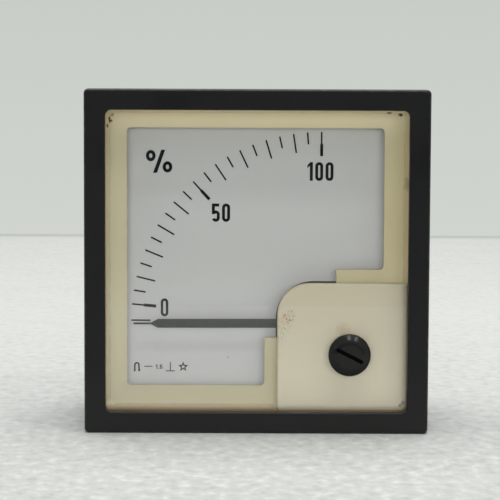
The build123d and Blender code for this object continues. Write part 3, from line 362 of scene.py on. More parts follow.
# The polarity signs stand raised on the back of the housing under the terminals.
# They are moulded with it, a plus at one side and a minus at the other, and painted pale grey.
SIGN_SPAN = 4.2 * MM
SIGN_BAR = 1.0 * MM
SIGN_PROUD = 0.45 * MM
SIGN_SUNK = 0.2 * MM
SIGN_EDGE = 0.12 * MM
SIGN_HEIGHT = 9.6 * MM
BOSS_HEIGHT = 1.0 * MM
rear_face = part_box("rear_housing")[1].y - BOSS_HEIGHT
stud_low, stud_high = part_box("terminal_studs")
STUD_COLLAR = 4.5 * MM
stud_x = stud_high.x - STUD_COLLAR
stud_z = stud_high.z - STUD_COLLAR


def raise_sign(shape, outline, centre):
    """A flat sign with a small bevel round its top, from an outline that runs against the clock."""
    rings = []
    for inset, y in ((0.0, rear_face - SIGN_SUNK), (0.0, rear_face + SIGN_PROUD - SIGN_EDGE),
                     (SIGN_EDGE, rear_face + SIGN_PROUD)):
        ring = []
        for i, (x, z) in enumerate(outline):
            before = Vector(outline[i - 1])
            after = Vector(outline[(i + 1) % len(outline)])
            into = (Vector((x, z)) - before).normalized()
            out = (after - Vector((x, z))).normalized()
            shift = (Vector((-into.y, into.x)) + Vector((-out.y, out.x))) * inset
            ring.append(shape.verts.new((centre[0] + x + shift.x, y, centre[1] + z + shift.y)))
        rings.append(ring)
    join_rings(shape, rings, capped=True)


half, bar = SIGN_SPAN / 2, SIGN_BAR / 2
plus = [(bar, bar), (bar, half), (-bar, half), (-bar, bar), (-half, bar), (-half, -bar),
        (-bar, -bar), (-bar, -half), (bar, -half), (bar, -bar), (half, -bar), (half, bar)]
minus = [(half, -bar), (half, bar), (-half, bar), (-half, -bar)]
shape = bmesh.new()
raise_sign(shape, plus, (-stud_x, SIGN_HEIGHT))
raise_sign(shape, minus, (stud_x, SIGN_HEIGHT))
sign_paint = moulded(
    "sign_paint", shade(168, 168, 163), shade(186, 186, 181), (0.5, 0.65), 3000.0, 150.0, 0.3, depth=0.00001)
signs = add_mesh("polarity_signs", shape, sign_paint)
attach(signs, "meter")


# The terminal studs are brass rods with a rolled 4 mm thread and a collar inside the housing.
# The thread runs the whole length, and both ends are chamfered.
turned_metal, given, result = group_of(
    "turned_metal", [("Lines", NUMBER, 4000.0), ("Stain", NUMBER, 300.0)],
    [("Stain", NUMBER), ("Gloss", NUMBER), ("Height", NUMBER)])
tree = turned_metal
place = here(tree)
across = put(tree, "ShaderNodeMapping", {"Vector": place, "Scale": (0.25, 1.0, 0.25)}).outputs[0]
lines = noise(tree, across, given["Lines"], 1.0)
stain = noise(tree, place, given["Stain"], 4.0)
tree.links.new(between(tree, stain, 0.42, 0.72), result["Stain"])
gloss = sums(tree, "MULTIPLY_ADD", lines, 0.5, times(tree, stain, 0.5))
tree.links.new(between(tree, gloss, 0.35, 0.65), result["Gloss"])
tree.links.new(lines, result["Height"])


def metal(name, clean, stained, dull, lines=4000.0, stain=300.0, depth=0.000002):
    """A bare or plated metal with its tool marks and stains."""
    made, tree, shader = new_finish(name, {"Metallic": 1.0})
    marks = put(tree, "ShaderNodeGroup", {"Lines": lines, "Stain": stain}, node_tree=turned_metal).outputs
    roughness = between(tree, marks["Gloss"], 0.0, 1.0, *dull)
    paint(tree, shader, mixed(tree, marks["Stain"], clean, stained), roughness)
    raise_bump(tree, shader, marks["Height"], depth)
    return made


brass = metal("brass", shade(214, 182, 112), shade(168, 132, 74), (0.22, 0.42))

SHAPE = "NodeSocketGeometry"


def geometry_tree(name, inputs):
    """An empty geometry tree with named inputs. Gives the tree and what comes in."""
    made = bpy.data.node_groups.new(name, "GeometryNodeTree")
    for label, kind in inputs:
        made.interface.new_socket(label, in_out="INPUT", socket_type=kind)
    made.interface.new_socket("Geometry", in_out="OUTPUT", socket_type=SHAPE)
    return made, made.nodes.new("NodeGroupInput").outputs


THREAD_FLAT = 0.12
SEAM = 1e-6
thread, given = geometry_tree("rolled_thread", [
    ("Radius", NUMBER), ("Length", NUMBER), ("Pitch", NUMBER), ("Depth", NUMBER), ("Chamfer", NUMBER),
    ("Collar", NUMBER), ("Collar From", NUMBER), ("Collar To", NUMBER), ("Start", NUMBER),
    ("Rows", WHOLE), ("Sides", WHOLE)])
sheet = put(thread, "GeometryNodeMeshGrid", {"Size X": 1.0, "Size Y": given["Length"],
                                             "Vertices X": given["Sides"], "Vertices Y": given["Rows"]})
spot = put(thread, "ShaderNodeSeparateXYZ", {0: put(thread, "GeometryNodeInputPosition").outputs[0]})
turn = sums(thread, "ADD", spot.outputs[0], 0.5)
along = sums(thread, "MULTIPLY_ADD", given["Length"], 0.5, spot.outputs[1])
phase = sums(thread, "FRACT", sums(thread, "ADD", sums(thread, "DIVIDE", along, given["Pitch"]), turn))
wave = sums(thread, "ABSOLUTE", sums(thread, "MULTIPLY_ADD", phase, 2.0, -1.0))
flat_wave = between(thread, wave, THREAD_FLAT, 1 - THREAD_FLAT)
screw_radius = sums(thread, "SUBTRACT", given["Radius"], times(thread, flat_wave, given["Depth"]))
left_over = sums(thread, "SUBTRACT", given["Length"], along)
end_gap = sums(thread, "MINIMUM", along, left_over)
coned = sums(thread, "ADD", sums(thread, "SUBTRACT", given["Radius"], given["Chamfer"]), end_gap)
rod = sums(thread, "MINIMUM", screw_radius, coned)
in_collar = times(thread, sums(thread, "GREATER_THAN", along, given["Collar From"]),
                 sums(thread, "LESS_THAN", along, given["Collar To"]))
rod = sums(thread, "MAXIMUM", rod, times(thread, in_collar, given["Collar"]))
closed = sums(thread, "GREATER_THAN", end_gap, SEAM)
rod = times(thread, rod, closed)
angle = times(thread, turn, 2 * pi)
rolled = put(thread, "ShaderNodeCombineXYZ", {
    0: times(thread, rod, sums(thread, "COSINE", angle)),
    1: sums(thread, "ADD", along, given["Start"]),
    2: times(thread, rod, sums(thread, "SINE", angle))})
wrapped = put(thread, "GeometryNodeSetPosition", {"Geometry": sheet.outputs[0],
                                                  "Position": rolled.outputs[0]})
sewn = put(thread, "GeometryNodeMergeByDistance", {"Geometry": wrapped.outputs[0], "Distance": SEAM})
thread.links.new(sewn.outputs[0], thread.nodes.new("NodeGroupOutput").inputs["Geometry"])

pair, given = geometry_tree("pair_on_studs", [
    ("Geometry", SHAPE), ("First", PLACE), ("Step", PLACE), ("Count", WHOLE),
    ("Finish", "NodeSocketMaterial")])
row = put(pair, "GeometryNodeMeshLine", {"Count": given["Count"], "Start Location": given["First"],
                                         "Offset": given["Step"]})
set_on = put(pair, "GeometryNodeInstanceOnPoints", {"Points": row.outputs[0], "Instance": given["Geometry"]})
real = put(pair, "GeometryNodeRealizeInstances", {0: set_on.outputs[0]})
coated = put(pair, "GeometryNodeSetMaterial", {"Geometry": real.outputs[0], "Material": given["Finish"]})
pair.links.new(coated.outputs[0], pair.nodes.new("NodeGroupOutput").inputs["Geometry"])


def set_inputs(piece, tree, values):
    """Puts a tree on a piece and sets its named inputs."""
    modifier = piece.modifiers.new(tree.name, "NODES")
    modifier.node_group = tree
    for item in tree.interface.items_tree:
        if item.in_out == "INPUT" and item.name in values:
            modifier[item.identifier] = values[item.name]


def settle(piece, finish, smooth_below):
    """Turns what a piece's trees make into its own plain mesh, with its faces outwards."""
    bpy.context.view_layer.update()
    seen = piece.evaluated_get(bpy.context.evaluated_depsgraph_get())
    mesh = bpy.data.meshes.new_from_object(seen)
    piece.modifiers.clear()
    shape = bmesh.new()
    shape.from_mesh(mesh)
    bmesh.ops.recalc_face_normals(shape, faces=shape.faces)
    shape.to_mesh(mesh)
    shape.free()
    mesh.shade_smooth()
    mesh.set_sharp_from_angle(angle=radians(smooth_below))
    mesh.materials.clear()
    mesh.materials.append(finish)
    mesh.name = piece.name
    piece.data = mesh


def stud_pair(name, shape, finish, smooth_below, thread_values=None):
    """A piece on both studs from the shape of one that stands on the studs' line."""
    mesh = bpy.data.meshes.new(name)
    if shape:
        shape.to_mesh(mesh)
        shape.free()
    piece = bpy.data.objects.new(name, mesh)
    bpy.context.scene.collection.objects.link(piece)
    if thread_values:
        set_inputs(piece, thread, thread_values)
    set_inputs(piece, pair, {"First": (-stud_x, 0.0, stud_z), "Step": (2 * stud_x, 0.0, 0.0), "Count": 2,
                             "Finish": finish})
    settle(piece, finish, smooth_below)
    return piece


STUD_RADIUS = 2.0 * MM
STUD_PITCH = 0.7 * MM
ROWS_PER_TURN = 8
STUD_THREAD = 0.38 * MM
STUD_SIDES = 33
STUD_CHAMFER = 0.5 * MM
stud_length = stud_high.y - stud_low.y
board_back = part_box("circuit_board")[1].y
COLLAR_THICK = 2.4 * MM
studs = stud_pair("threaded_studs", None, brass, 42, {
    "Radius": STUD_RADIUS, "Length": stud_length, "Pitch": STUD_PITCH, "Depth": STUD_THREAD,
    "Chamfer": STUD_CHAMFER, "Collar": STUD_COLLAR, "Collar From": board_back - stud_low.y,
    "Collar To": board_back - stud_low.y + COLLAR_THICK, "Start": stud_low.y,
    "Rows": int(stud_length / STUD_PITCH * ROWS_PER_TURN) + 1, "Sides": STUD_SIDES})
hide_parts("terminal_studs")
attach(studs, "meter")


# The nuts on the studs are brass hexagons turned from bar, with both faces chamfered.
# One pair holds the board, one pair clamps the studs to the housing and one pair holds the wires.
NUT_FLATS = 7.0 * MM
NUT_FACE = 0.94
NUT_CHAMFER = radians(30)
NUT_BORE = 2.01 * MM
NUT_COUNTERSINK = 0.3 * MM
NUT_POINTS = 72


def turn_nut(front, back):
    """One chamfered nut from face to face along its stud."""
    shape = bmesh.new()
    face = NUT_FLATS / 2 * NUT_FACE
    rings = []
    mouth = NUT_BORE + NUT_COUNTERSINK
    for radius, side, inside in ((NUT_BORE, front, NUT_COUNTERSINK), (mouth, front, 0.0), (face, front, 0.0),
                                 (None, front, None), (None, back, None), (face, back, 0.0),
                                 (mouth, back, 0.0), (NUT_BORE, back, NUT_COUNTERSINK)):
        ring = []
        inwards = 1 if side == front else -1
        for i in range(NUT_POINTS):
            turn = 2 * pi * i / NUT_POINTS
            from_flat = (turn + pi / 6) % (pi / 3) - pi / 6
            reach = NUT_FLATS / 2 / cos(from_flat)
            out = reach if radius is None else radius
            drop = max(reach - face, 0.0) * tan(NUT_CHAMFER) if inside is None else inside
            ring.append(shape.verts.new((out * cos(turn), side + inwards * drop, out * sin(turn))))
        rings.append(ring)
    join_rings(shape, rings + rings[:1])
    return shape


for nuts_name, node in (("board_hex_nuts", "board_nuts"), ("fixing_hex_nuts", "fixing_nuts"),
                        ("terminal_hex_nuts", "terminal_nuts")):
    low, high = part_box(node)
    nuts = stud_pair(nuts_name, turn_nut(low.y, high.y), brass, 25)
    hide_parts(node)
    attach(nuts, "meter")


# The washers under the wires are flat brass rings, and the lock washers are split steel springs.
# Both keep the shape that the source gives them.
zinc_steel = metal("zinc_steel", shade(196, 198, 200), shade(158, 160, 164), (0.25, 0.45))
dress(brass, "terminal_washers")
dress(zinc_steel, "lock_washers")


# The circuit board is glass laminate held on the studs, and it carries one series resistor.
# The resistor is a lacquered rod with colour rings and tinned wires.
board_green, tree, shader = new_finish("board_laminate", {"Specular IOR Level": 0.4})
weave = put(tree, "ShaderNodeTexWave", {"Vector": here(tree), "Scale": 900.0, "Distortion": 0.6}).outputs[0]
cloud = noise(tree, here(tree), 180.0, 3.0)
laminate = mixed(tree, cloud, shade(62, 92, 50), shade(98, 122, 70))
paint(tree, shader, laminate, between(tree, weave, 0.0, 1.0, 0.3, 0.45))
raise_bump(tree, shader, weave, 0.000006)
dress(board_green, "circuit_board")

resistor_low, resistor_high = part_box("series_resistor")
resistor_middle = (resistor_low + resistor_high) / 2
RESISTOR_HALF = 6.5 * MM
RING_HALF = 0.5 * MM
RING_SOFT = 0.06 * MM
WIRE_SOFT = 0.05 * MM
RINGS = ((-4.4, shade(110, 62, 32)), (-2.4, shade(24, 22, 22)), (-0.4, shade(188, 44, 32)),
         (3.6, shade(176, 140, 56)))
ring_paint, tree, shader = new_finish("ringed_lacquer", {"Specular IOR Level": 0.5})
moved = put(tree, "ShaderNodeMapping", {"Vector": here(tree), "Location": -resistor_middle}).outputs[0]
sideways = put(tree, "ShaderNodeSeparateXYZ", {0: moved}).outputs[0]
colour = shade(196, 172, 128)
for middle, ring in RINGS:
    off = sums(tree, "ABSOLUTE", sums(tree, "SUBTRACT", sideways, middle * MM))
    colour = mixed(tree, between(tree, off, RING_HALF, RING_HALF + RING_SOFT, 1.0, 0.0), colour, ring)
wire = between(tree, sums(tree, "ABSOLUTE", sideways), RESISTOR_HALF, RESISTOR_HALF + WIRE_SOFT)
lumps = noise(tree, moved, 700.0, 2.0)
colour = mixed(tree, wire, colour, shade(190, 190, 188))
paint(tree, shader, colour, between(tree, lumps, 0.3, 0.7, 0.26, 0.42))
tree.links.new(wire, shader.inputs["Metallic"])
raise_bump(tree, shader, lumps, 0.00002)
dress(ring_paint, "series_resistor")


# The two leads carry the current from the board to the movement's frame and to its rear spring.
# They are thin copper wires in a soft red cover.
lead_red = moulded(
    "lead_cover", shade(120, 26, 22), shade(150, 38, 30), (0.35, 0.5), 4000.0, 300.0, 0.4, depth=0.00001)
dress(lead_red, "frame_lead", "spring_lead")


# The movement stands on a base of rolled aluminium, screwed to the housing at three ears.
# The brass posts and steel bolts hold the yoke on it, and the rear bearing screw sits in its middle.
aluminium = metal("rolled_aluminium", shade(206, 208, 210), shade(172, 174, 177), (0.3, 0.5))
dress(aluminium, "movement_base")
dress(brass, "yoke_posts", "rear_jewel_screw", "jewel_lock_nut", "spring_anchor")
dress(zinc_steel, "base_screws", "yoke_bolts")


# The bearing stones are small synthetic rubies, one in each bearing screw.
# Their colour is a deep red.
ruby, tree, shader = new_finish("ruby", {"IOR": 1.76, "Specular IOR Level": 0.5})
cloud = noise(tree, here(tree), 2200.0, 2.0)
red = mixed(tree, cloud, shade(140, 12, 34), shade(186, 26, 52))
paint(tree, shader, red, between(tree, cloud, 0.3, 0.7, 0.04, 0.1))
dress(ruby, "rear_jewel", "front_jewel")


# The yoke is a turned ring of soft iron with the magnet as a round core in its middle.
# Two brass spacers hold the core, and the coil swings in the gap between core and ring.
soft_iron = metal("soft_iron", shade(150, 149, 146), shade(108, 104, 98), (0.34, 0.5), lines=3000.0)
dress(soft_iron, "yoke_ring")
dress(brass, "core_spacers")
magnet = metal("cast_magnet", shade(104, 104, 107), shade(78, 77, 78), (0.42, 0.6), stain=700.0,
               depth=0.00001)
dress(magnet, "core_magnet")


# The coil is enamelled copper wire on a thin aluminium former, with a steel pivot at each end.
# The hairsprings are bronze strips that bring the current in and pull the pointer back.
copper, tree, shader = new_finish(
    "enamelled_copper", {"Metallic": 1.0, "Coat Weight": 0.6, "Coat Roughness": 0.15})
turns = put(tree, "ShaderNodeTexWave", {"Vector": here(tree), "Scale": 1900.0, "Distortion": 0.15},
            bands_direction="X").outputs[0]
wound = mixed(tree, turns, shade(112, 48, 24), shade(186, 96, 54))
paint(tree, shader, wound, between(tree, turns, 0.0, 1.0, 0.42, 0.28))
raise_bump(tree, shader, turns, 0.00004)
dress(copper, "coil_winding")
dress(aluminium, "coil_former", "pointer_hub")
dress(zinc_steel, "front_pivot", "rear_pivot")
bronze = metal("spring_bronze", shade(205, 160, 104), shade(160, 112, 66), (0.2, 0.35))
dress(bronze, "front_hairspring", "rear_hairspring")
dress(brass, "balance_weights")


# The front bridge spans the coil on two brass pillars and carries the front bearing screw.
# It is stamped from steel, and the zero lever turns round its bearing screw.
dress(zinc_steel, "front_bridge", "bridge_screws")
dress(brass, "bridge_pillars", "front_jewel_screw", "zero_lever")


# The dial is a painted sheet with its scale printed in black, screwed to the housing's corner posts.
# The paint is a pale grey with a very fine grain and one speck of dirt near its lower edge. It is painted
# lighter towards the bottom as a painted reflection of the floor, and darker along the top as painted shade
# under the frame's lip. The part that the mask's hood covers is painted black as painted shade, so the slot
# for the pointer looks dark.
grime_spot, given, result = group_of(
    "grime_spot", [("Centre", PLACE, (0.0, 0.0, 0.0)), ("Radius", NUMBER, 0.001), ("Ragged", NUMBER, 0.5)],
    [("Mask", NUMBER)])
tree = grime_spot
place = here(tree)
ragged = noise(tree, place, 900.0, 4.0)
far = put(tree, "ShaderNodeVectorMath", {0: place, 1: given["Centre"]},
          operation="DISTANCE").outputs["Value"]
near = sums(tree, "SUBTRACT", 1.0, sums(tree, "DIVIDE", far, given["Radius"]))
torn = times(tree, sums(tree, "SUBTRACT", ragged, 0.5), given["Ragged"])
spotted = between(tree, sums(tree, "MULTIPLY_ADD", torn, 4.0, near), 0.0, 0.6, smooth=True)
inside = sums(tree, "GREATER_THAN", near, 0.0)
tree.links.new(times(tree, spotted, inside), result["Mask"])


def spot_of(tree, x, y, z, radius, ragged):
    """One spot of grime on a piece, placed in millimetres."""
    return put(tree, "ShaderNodeGroup", {"Centre": (x * MM, y * MM, z * MM), "Radius": radius * MM,
                                         "Ragged": ragged}, node_tree=grime_spot).outputs["Mask"]


def past_corner(tree, first, second):
    """How far a place lies beyond the middle of a round corner, from its distances along two sides."""
    ahead = put(tree, "ShaderNodeCombineXYZ", {0: sums(tree, "MAXIMUM", first, 0.0),
                                               1: sums(tree, "MAXIMUM", second, 0.0)}).outputs[0]
    return put(tree, "ShaderNodeVectorMath", {0: ahead}, operation="LENGTH").outputs["Value"]


# Painted shade: the dial under the hood is painted black where the open slot would lie in shade.
FIELD_LEFT = 5.55 * MM
FIELD_TOP = -6.5 * MM
FIELD_CORNER = 10.5 * MM
FIELD_SOFT = 0.03 * MM
HOOD_SHADE_BLACK = shade(24, 22, 20)
DIAL_LOW = shade(211, 210, 211)
DIAL_HIGH = shade(202, 202, 201)
DIAL_TOP_SHADE = shade(193, 193, 190)
SPECK = shade(120, 112, 96)
dial_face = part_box("dial_plate")[0].y
dial_paint, tree, shader = new_finish("dial_paint", {"Specular IOR Level": 0.3})
mould = mould_of(tree, 5200.0, 45.0)
side, depth, height = axes(tree)
# Painted light: the grey is lighter towards the bottom, a painted reflection of the floor, and darker along
# the top, painted shade under the frame's lip.
grain_and_painted_light = sums(tree, "MULTIPLY_ADD", mould["Tone"], 0.3, between(tree, height, -30.0 * MM, 0.0))
painted = mixed(tree, grain_and_painted_light, DIAL_LOW, DIAL_HIGH)
painted = mixed(tree, between(tree, height, 24.0 * MM, 37.0 * MM, smooth=True), painted, DIAL_TOP_SHADE)
painted = mixed(tree, spot_of(tree, -8.0, dial_face / MM, -28.4, 0.32, 0.2), painted, SPECK)
short_of = sums(tree, "SUBTRACT", FIELD_LEFT + FIELD_CORNER, side)
above_by = sums(tree, "SUBTRACT", height, FIELD_TOP - FIELD_CORNER)
past = past_corner(tree, short_of, above_by)
hood_shade = between(tree, past, FIELD_CORNER - FIELD_SOFT, FIELD_CORNER + FIELD_SOFT, 1.0, 0.0)
dull = between(tree, mould["Gloss"], 0.0, 1.0, 0.5, 0.6)
paint(tree, shader, mixed(tree, hood_shade, painted, HOOD_SHADE_BLACK), dull)
raise_bump(tree, shader, mould["Height"], 0.000006)
dress(dial_paint, "dial_plate")
dress(zinc_steel, "dial_screws", "stop_pins")

dial_ink = moulded("dial_ink", shade(16, 16, 17), shade(34, 33, 33), (0.55, 0.7), 9000.0, 400.0, 0.15)
dress(dial_ink, "scale_marks")


# The numbers, the percent sign and the small standard signs are printed on the dial with the same ink.
# Most are strokes of an even width, like engraved letters. The ones and the percent bar are areas.
INK_THICK = 0.05
INK_SUNK = 0.01
ARC_STEPS = 14
MITRE_LIMIT = 0.35
ink_front, ink_back = dial_face - INK_THICK * MM, dial_face + INK_SUNK * MM


def print_area(shape, outline):
    """A flat printed area, from its outline in millimetres."""
    rings = []
    for y in (ink_front, ink_back):
        rings.append([shape.verts.new((x * MM, y, z * MM)) for x, z in outline])
    join_rings(shape, rings, capped=True)


def print_stroke(shape, path, width, closed=False):
    """A printed stroke of even width along a path in millimetres, with square ends and mitred corners."""
    spots = [Vector(spot) for spot in path]
    count = len(spots)
    sides = []
    for i, spot in enumerate(spots):
        runs = []
        if closed or i > 0:
            runs.append((spot - spots[i - 1]).normalized())
        if closed or i < count - 1:
            runs.append((spots[(i + 1) % count] - spot).normalized())
        normals = [Vector((-run.y, run.x)) for run in runs]
        across = sum(normals, Vector((0, 0))).normalized()
        shift = across * (width / 2 / max(across.dot(normals[0]), MITRE_LIMIT))
        sides.append((spot + shift, spot - shift))
    rings = []
    for first, second in sides:
        square = ((first, ink_front), (second, ink_front), (second, ink_back), (first, ink_back))
        rings.append([shape.verts.new((side.x * MM, y, side.y * MM)) for side, y in square])
    join_rings(shape, rings + rings[:1] if closed else rings, capped=not closed)


def arc(x, z, radius, start, end, steps=ARC_STEPS):
    """Points on a round stroke, from one angle to another."""
    return [(x + radius * cos(radians(start + (end - start) * i / steps)),
             z + radius * sin(radians(start + (end - start) * i / steps))) for i in range(steps + 1)]


def print_nought(shape, x, low, high, width, stroke):
    """A nought with straight sides and round ends."""
    bend = (width - stroke) / 2
    rise = stroke / 2 + bend
    ring = arc(x, high - rise, bend, 0, 180) + arc(x, low + rise, bend, 180, 360)
    print_stroke(shape, ring, stroke, closed=True)


def print_five(shape, x, low, high, width, stroke):
    """A five with a flat top, a straight back and a round bowl."""
    left_side, right_side = x - width / 2 + stroke / 2, x + width / 2 - stroke / 2
    bend = (right_side - left_side) / 2
    top = high - stroke / 2
    bowl = low + (high - low) * 0.62 - bend - stroke / 2
    middle = (left_side + right_side) / 2
    back = [(right_side + stroke * 0.3, top), (left_side, top), (left_side, bowl + bend * 0.1)]
    print_stroke(shape, back, stroke)
    belly = arc(middle, bowl, bend, 135, 0) + arc(middle, low + stroke / 2 + bend, bend, 0, -165)
    print_stroke(shape, belly, stroke)


def print_one(shape, x, low, high, stroke, flag):
    """A one with a sloping flag."""
    edge = stroke / 2
    tip_x, tip_z = x - edge - flag, high - flag * 1.25
    print_area(shape, [(x + edge, low), (x + edge, high), (x - edge * 0.75, high), (tip_x, tip_z),
                       (tip_x, tip_z - stroke), (x - edge, high - flag * 0.25 - stroke), (x - edge, low)])


FIGURE_STROKE = 0.84
ZERO_STROKE = 0.7
ZERO_LOW, ZERO_HIGH = -16.73, -11.6
FIFTY_LOW, FIFTY_HIGH = 10.32, 15.5
HUNDRED_LOW, HUNDRED_HIGH = 22.05, 27.35
ONE_LOW = 22.08
ONE_FLAG = 0.72
PERCENT_RING = 0.92
PERCENT_TALL = 1.22
PERCENT_STROKE = 0.92
SIGN_LINE = -31.2
SIGN_STROKE = 0.24
CLASS_LOW, CLASS_HIGH = SIGN_LINE - 0.62, SIGN_LINE + 0.62
FOOT = SIGN_LINE - 1.1
UPRIGHT_FOOT = SIGN_LINE - 1.2
STAR_X = -20.82
STAR_OUTER, STAR_INNER = 1.1, 0.48
shape = bmesh.new()
print_nought(shape, -26.15, ZERO_LOW, ZERO_HIGH, 2.15, ZERO_STROKE)
print_five(shape, -11.63, FIFTY_LOW, FIFTY_HIGH, 2.25, FIGURE_STROKE)
print_nought(shape, -8.73, FIFTY_LOW, FIFTY_HIGH, 2.3, FIGURE_STROKE)
print_one(shape, 15.36, ONE_LOW, HUNDRED_HIGH, FIGURE_STROKE, ONE_FLAG)
for x in (17.58, 20.5):
    print_nought(shape, x, HUNDRED_LOW, HUNDRED_HIGH, 2.25, FIGURE_STROKE)
for x, z in ((-30.07, 29.0), (-25.35, 25.83)):
    ring = [(x + side, z + (up - z) * PERCENT_TALL) for side, up in arc(0.0, z, PERCENT_RING, 0, 345, 23)]
    print_stroke(shape, ring, PERCENT_STROKE, closed=True)
print_area(shape, [(-27.1, 30.67), (-26.0, 30.67), (-28.3, 24.15), (-29.4, 24.15)])

magnet_top = arc(-34.02, SIGN_LINE + 0.5, 0.6, 180, 0, 8)
print_stroke(shape, [(-34.98, FOOT), (-34.62, FOOT)] + magnet_top + [(-33.42, FOOT), (-33.06, FOOT)], 0.42)
print_stroke(shape, [(-31.91, SIGN_LINE + 0.1), (-29.61, SIGN_LINE + 0.1)], SIGN_STROKE)
print_one(shape, -28.3, CLASS_LOW, CLASS_HIGH, SIGN_STROKE, SIGN_STROKE)
print_stroke(shape, [(-27.81, CLASS_LOW), (-27.81, CLASS_LOW + SIGN_STROKE)], SIGN_STROKE)
print_five(shape, -27.1, CLASS_LOW, CLASS_HIGH, 0.78, 0.22)
print_stroke(shape, [(-25.78, UPRIGHT_FOOT), (-23.18, UPRIGHT_FOOT)], SIGN_STROKE)
print_stroke(shape, [(-24.48, UPRIGHT_FOOT + SIGN_STROKE / 2), (-24.48, SIGN_LINE + 1.4)], SIGN_STROKE)
star = []
for i in range(10):
    reach, turn = STAR_INNER if i % 2 else STAR_OUTER, radians(90 + 36 * i)
    star.append((STAR_X + reach * cos(turn), SIGN_LINE + reach * sin(turn)))
print_stroke(shape, star, 0.3, closed=True)
dial_print = add_mesh("dial_print", shape, dial_ink)
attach(dial_print, "meter")


# The pointer is a flat bar of thin aluminium, sprayed dull dark grey, with a fine tip.
# It is fixed on the coil's hub and swings just in front of the dial.
pointer_grey = moulded(
    "pointer_paint", shade(43, 45, 41), shade(50, 51, 47), (0.45, 0.58), 6000.0, 160.0, 0.3, depth=0.000005)
dress(pointer_grey, "pointer")


# The mask is a cream moulding round the dial, with a raised hood over the movement in its lower right corner.
# Age has turned it yellow, and brown grime sits along its outer edges and in a few spots. Its colour also
# holds painted light: the hood is lighter towards its bottom, the ring is lighter than the hood and lighter
# still at its top, and its outer band is lighter than the inner shelves, all to make up for the shade of the
# frame's lip. Its lowest edge is darkened brown by dust and by painted shade under the lip.
square_edge, given, result = group_of(
    "square_edge", [("Half", NUMBER, 0.048), ("Corner", NUMBER, 0.002), ("Inset", NUMBER, 0.0),
                    ("Reach", NUMBER, 0.001), ("Ragged", NUMBER, 0.3)], [("Mask", NUMBER)])
tree = square_edge
side, depth, height = axes(tree)
core = sums(tree, "SUBTRACT", given["Half"], given["Corner"])
over_x = sums(tree, "SUBTRACT", sums(tree, "ABSOLUTE", side), core)
over_z = sums(tree, "SUBTRACT", sums(tree, "ABSOLUTE", height), core)
round_off = past_corner(tree, over_x, over_z)
flat_off = sums(tree, "MINIMUM", sums(tree, "MAXIMUM", over_x, over_z), 0.0)
inward = sums(tree, "SUBTRACT", given["Corner"], sums(tree, "ADD", round_off, flat_off))
torn = sums(tree, "SUBTRACT", noise(tree, here(tree), 500.0, 5.0), 0.5)
off_line = sums(tree, "ABSOLUTE", sums(tree, "SUBTRACT", inward, given["Inset"]))
share = sums(tree, "DIVIDE", off_line, given["Reach"])
share = sums(tree, "MULTIPLY_ADD", times(tree, torn, given["Ragged"]), 4.0, share)
tree.links.new(between(tree, share, 0.0, 1.0, 1.0, 0.0, smooth=True), result["Mask"])


def edge_of(tree, half, corner, inset, reach, ragged):
    """A band along the outline of a square piece, at an inset from its edge, in millimetres."""
    return put(tree, "ShaderNodeGroup", {"Half": half * MM, "Corner": corner * MM, "Inset": inset * MM,
                                         "Reach": reach * MM, "Ragged": ragged},
               node_tree=square_edge).outputs["Mask"]


MASK_CORNER = 2.1
MASK_EDGE = 1.9
CREST_Y = 1.5
RING_Y = 4.2
HOOD_UPPER = shade(199, 190, 166)
HOOD_LOWER_LIT = shade(223, 214, 189)
RING_COOL = shade(218, 211, 180)
RING_WARM = shade(216, 204, 163)
RING_TOP_LIT = shade(226, 214, 178)
SHELF_SHADE_AND_TONE = shade(196, 187, 154)
EDGE_TAN = shade(226, 190, 146)
DUST_AND_SHADE_BROWN = shade(112, 87, 60)
DIRT = shade(72, 50, 20)
RUST = shade(188, 142, 98)
DIRT_SPOTS = ((-41.45, 3.9, 39.5, 0.85, 1.0), (-41.3, 4.0, 38.9, 0.8, 1.0), (-41.9, 3.0, 37.6, 0.65, 0.9),
              (-40.6, 4.3, 40.7, 0.7, 0.5), (40.2, 4.3, 41.0, 0.85, 1.0), (37.2, 4.0, 41.4, 0.65, 0.9),
              (36.6, 4.0, 41.4, 0.55, 0.9), (41.5, 0.8, -40.2, 0.9, 0.5), (40.65, 0.75, -40.8, 0.8, 0.6),
              (42.05, 2.7, 21.3, 2.4, 0.35))
GRAIN_PATCHES = ((9.2, -15.6, 2.4, 0.9), (8.0, -18.8, 2.4, 0.6), (6.8, -22.6, 2.0, 0.45),
                 (23.6, -19.4, 2.0, 0.3))
mask_low, mask_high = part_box("scale_mask")
mask_half = mask_high.x / MM
hood_face = mask_low.y / MM
cream, tree, shader = new_finish("cream_plastic", {"Specular IOR Level": 0.35})
mould = mould_of(tree, 2400.0, 55.0)
side, depth, height = axes(tree)
# Painted light: the hood is painted lighter towards its bottom, to make up for the shade of the frame's lower
# lip.
raised = between(tree, height, -46.0 * MM, -4.0 * MM, smooth=True)
hood_tone = mixed(tree, raised, HOOD_LOWER_LIT, HOOD_UPPER)
sunned = between(tree, sums(tree, "MULTIPLY_ADD", height, 0.6, side), -40.0 * MM, 40.0 * MM)
ring_tone = mixed(tree, sunned, RING_COOL, RING_WARM)
# Painted light: the ring's outer band by the lip is painted lighter than its inner shelves, to make up for
# the lip's shade.
inner_shade = sums(tree, "SUBTRACT", 1.0, edge_of(tree, mask_half, MASK_CORNER, 0.0, 12.0, 0.0))
ring_tone = mixed(tree, times(tree, inner_shade, 0.8), ring_tone, SHELF_SHADE_AND_TONE)
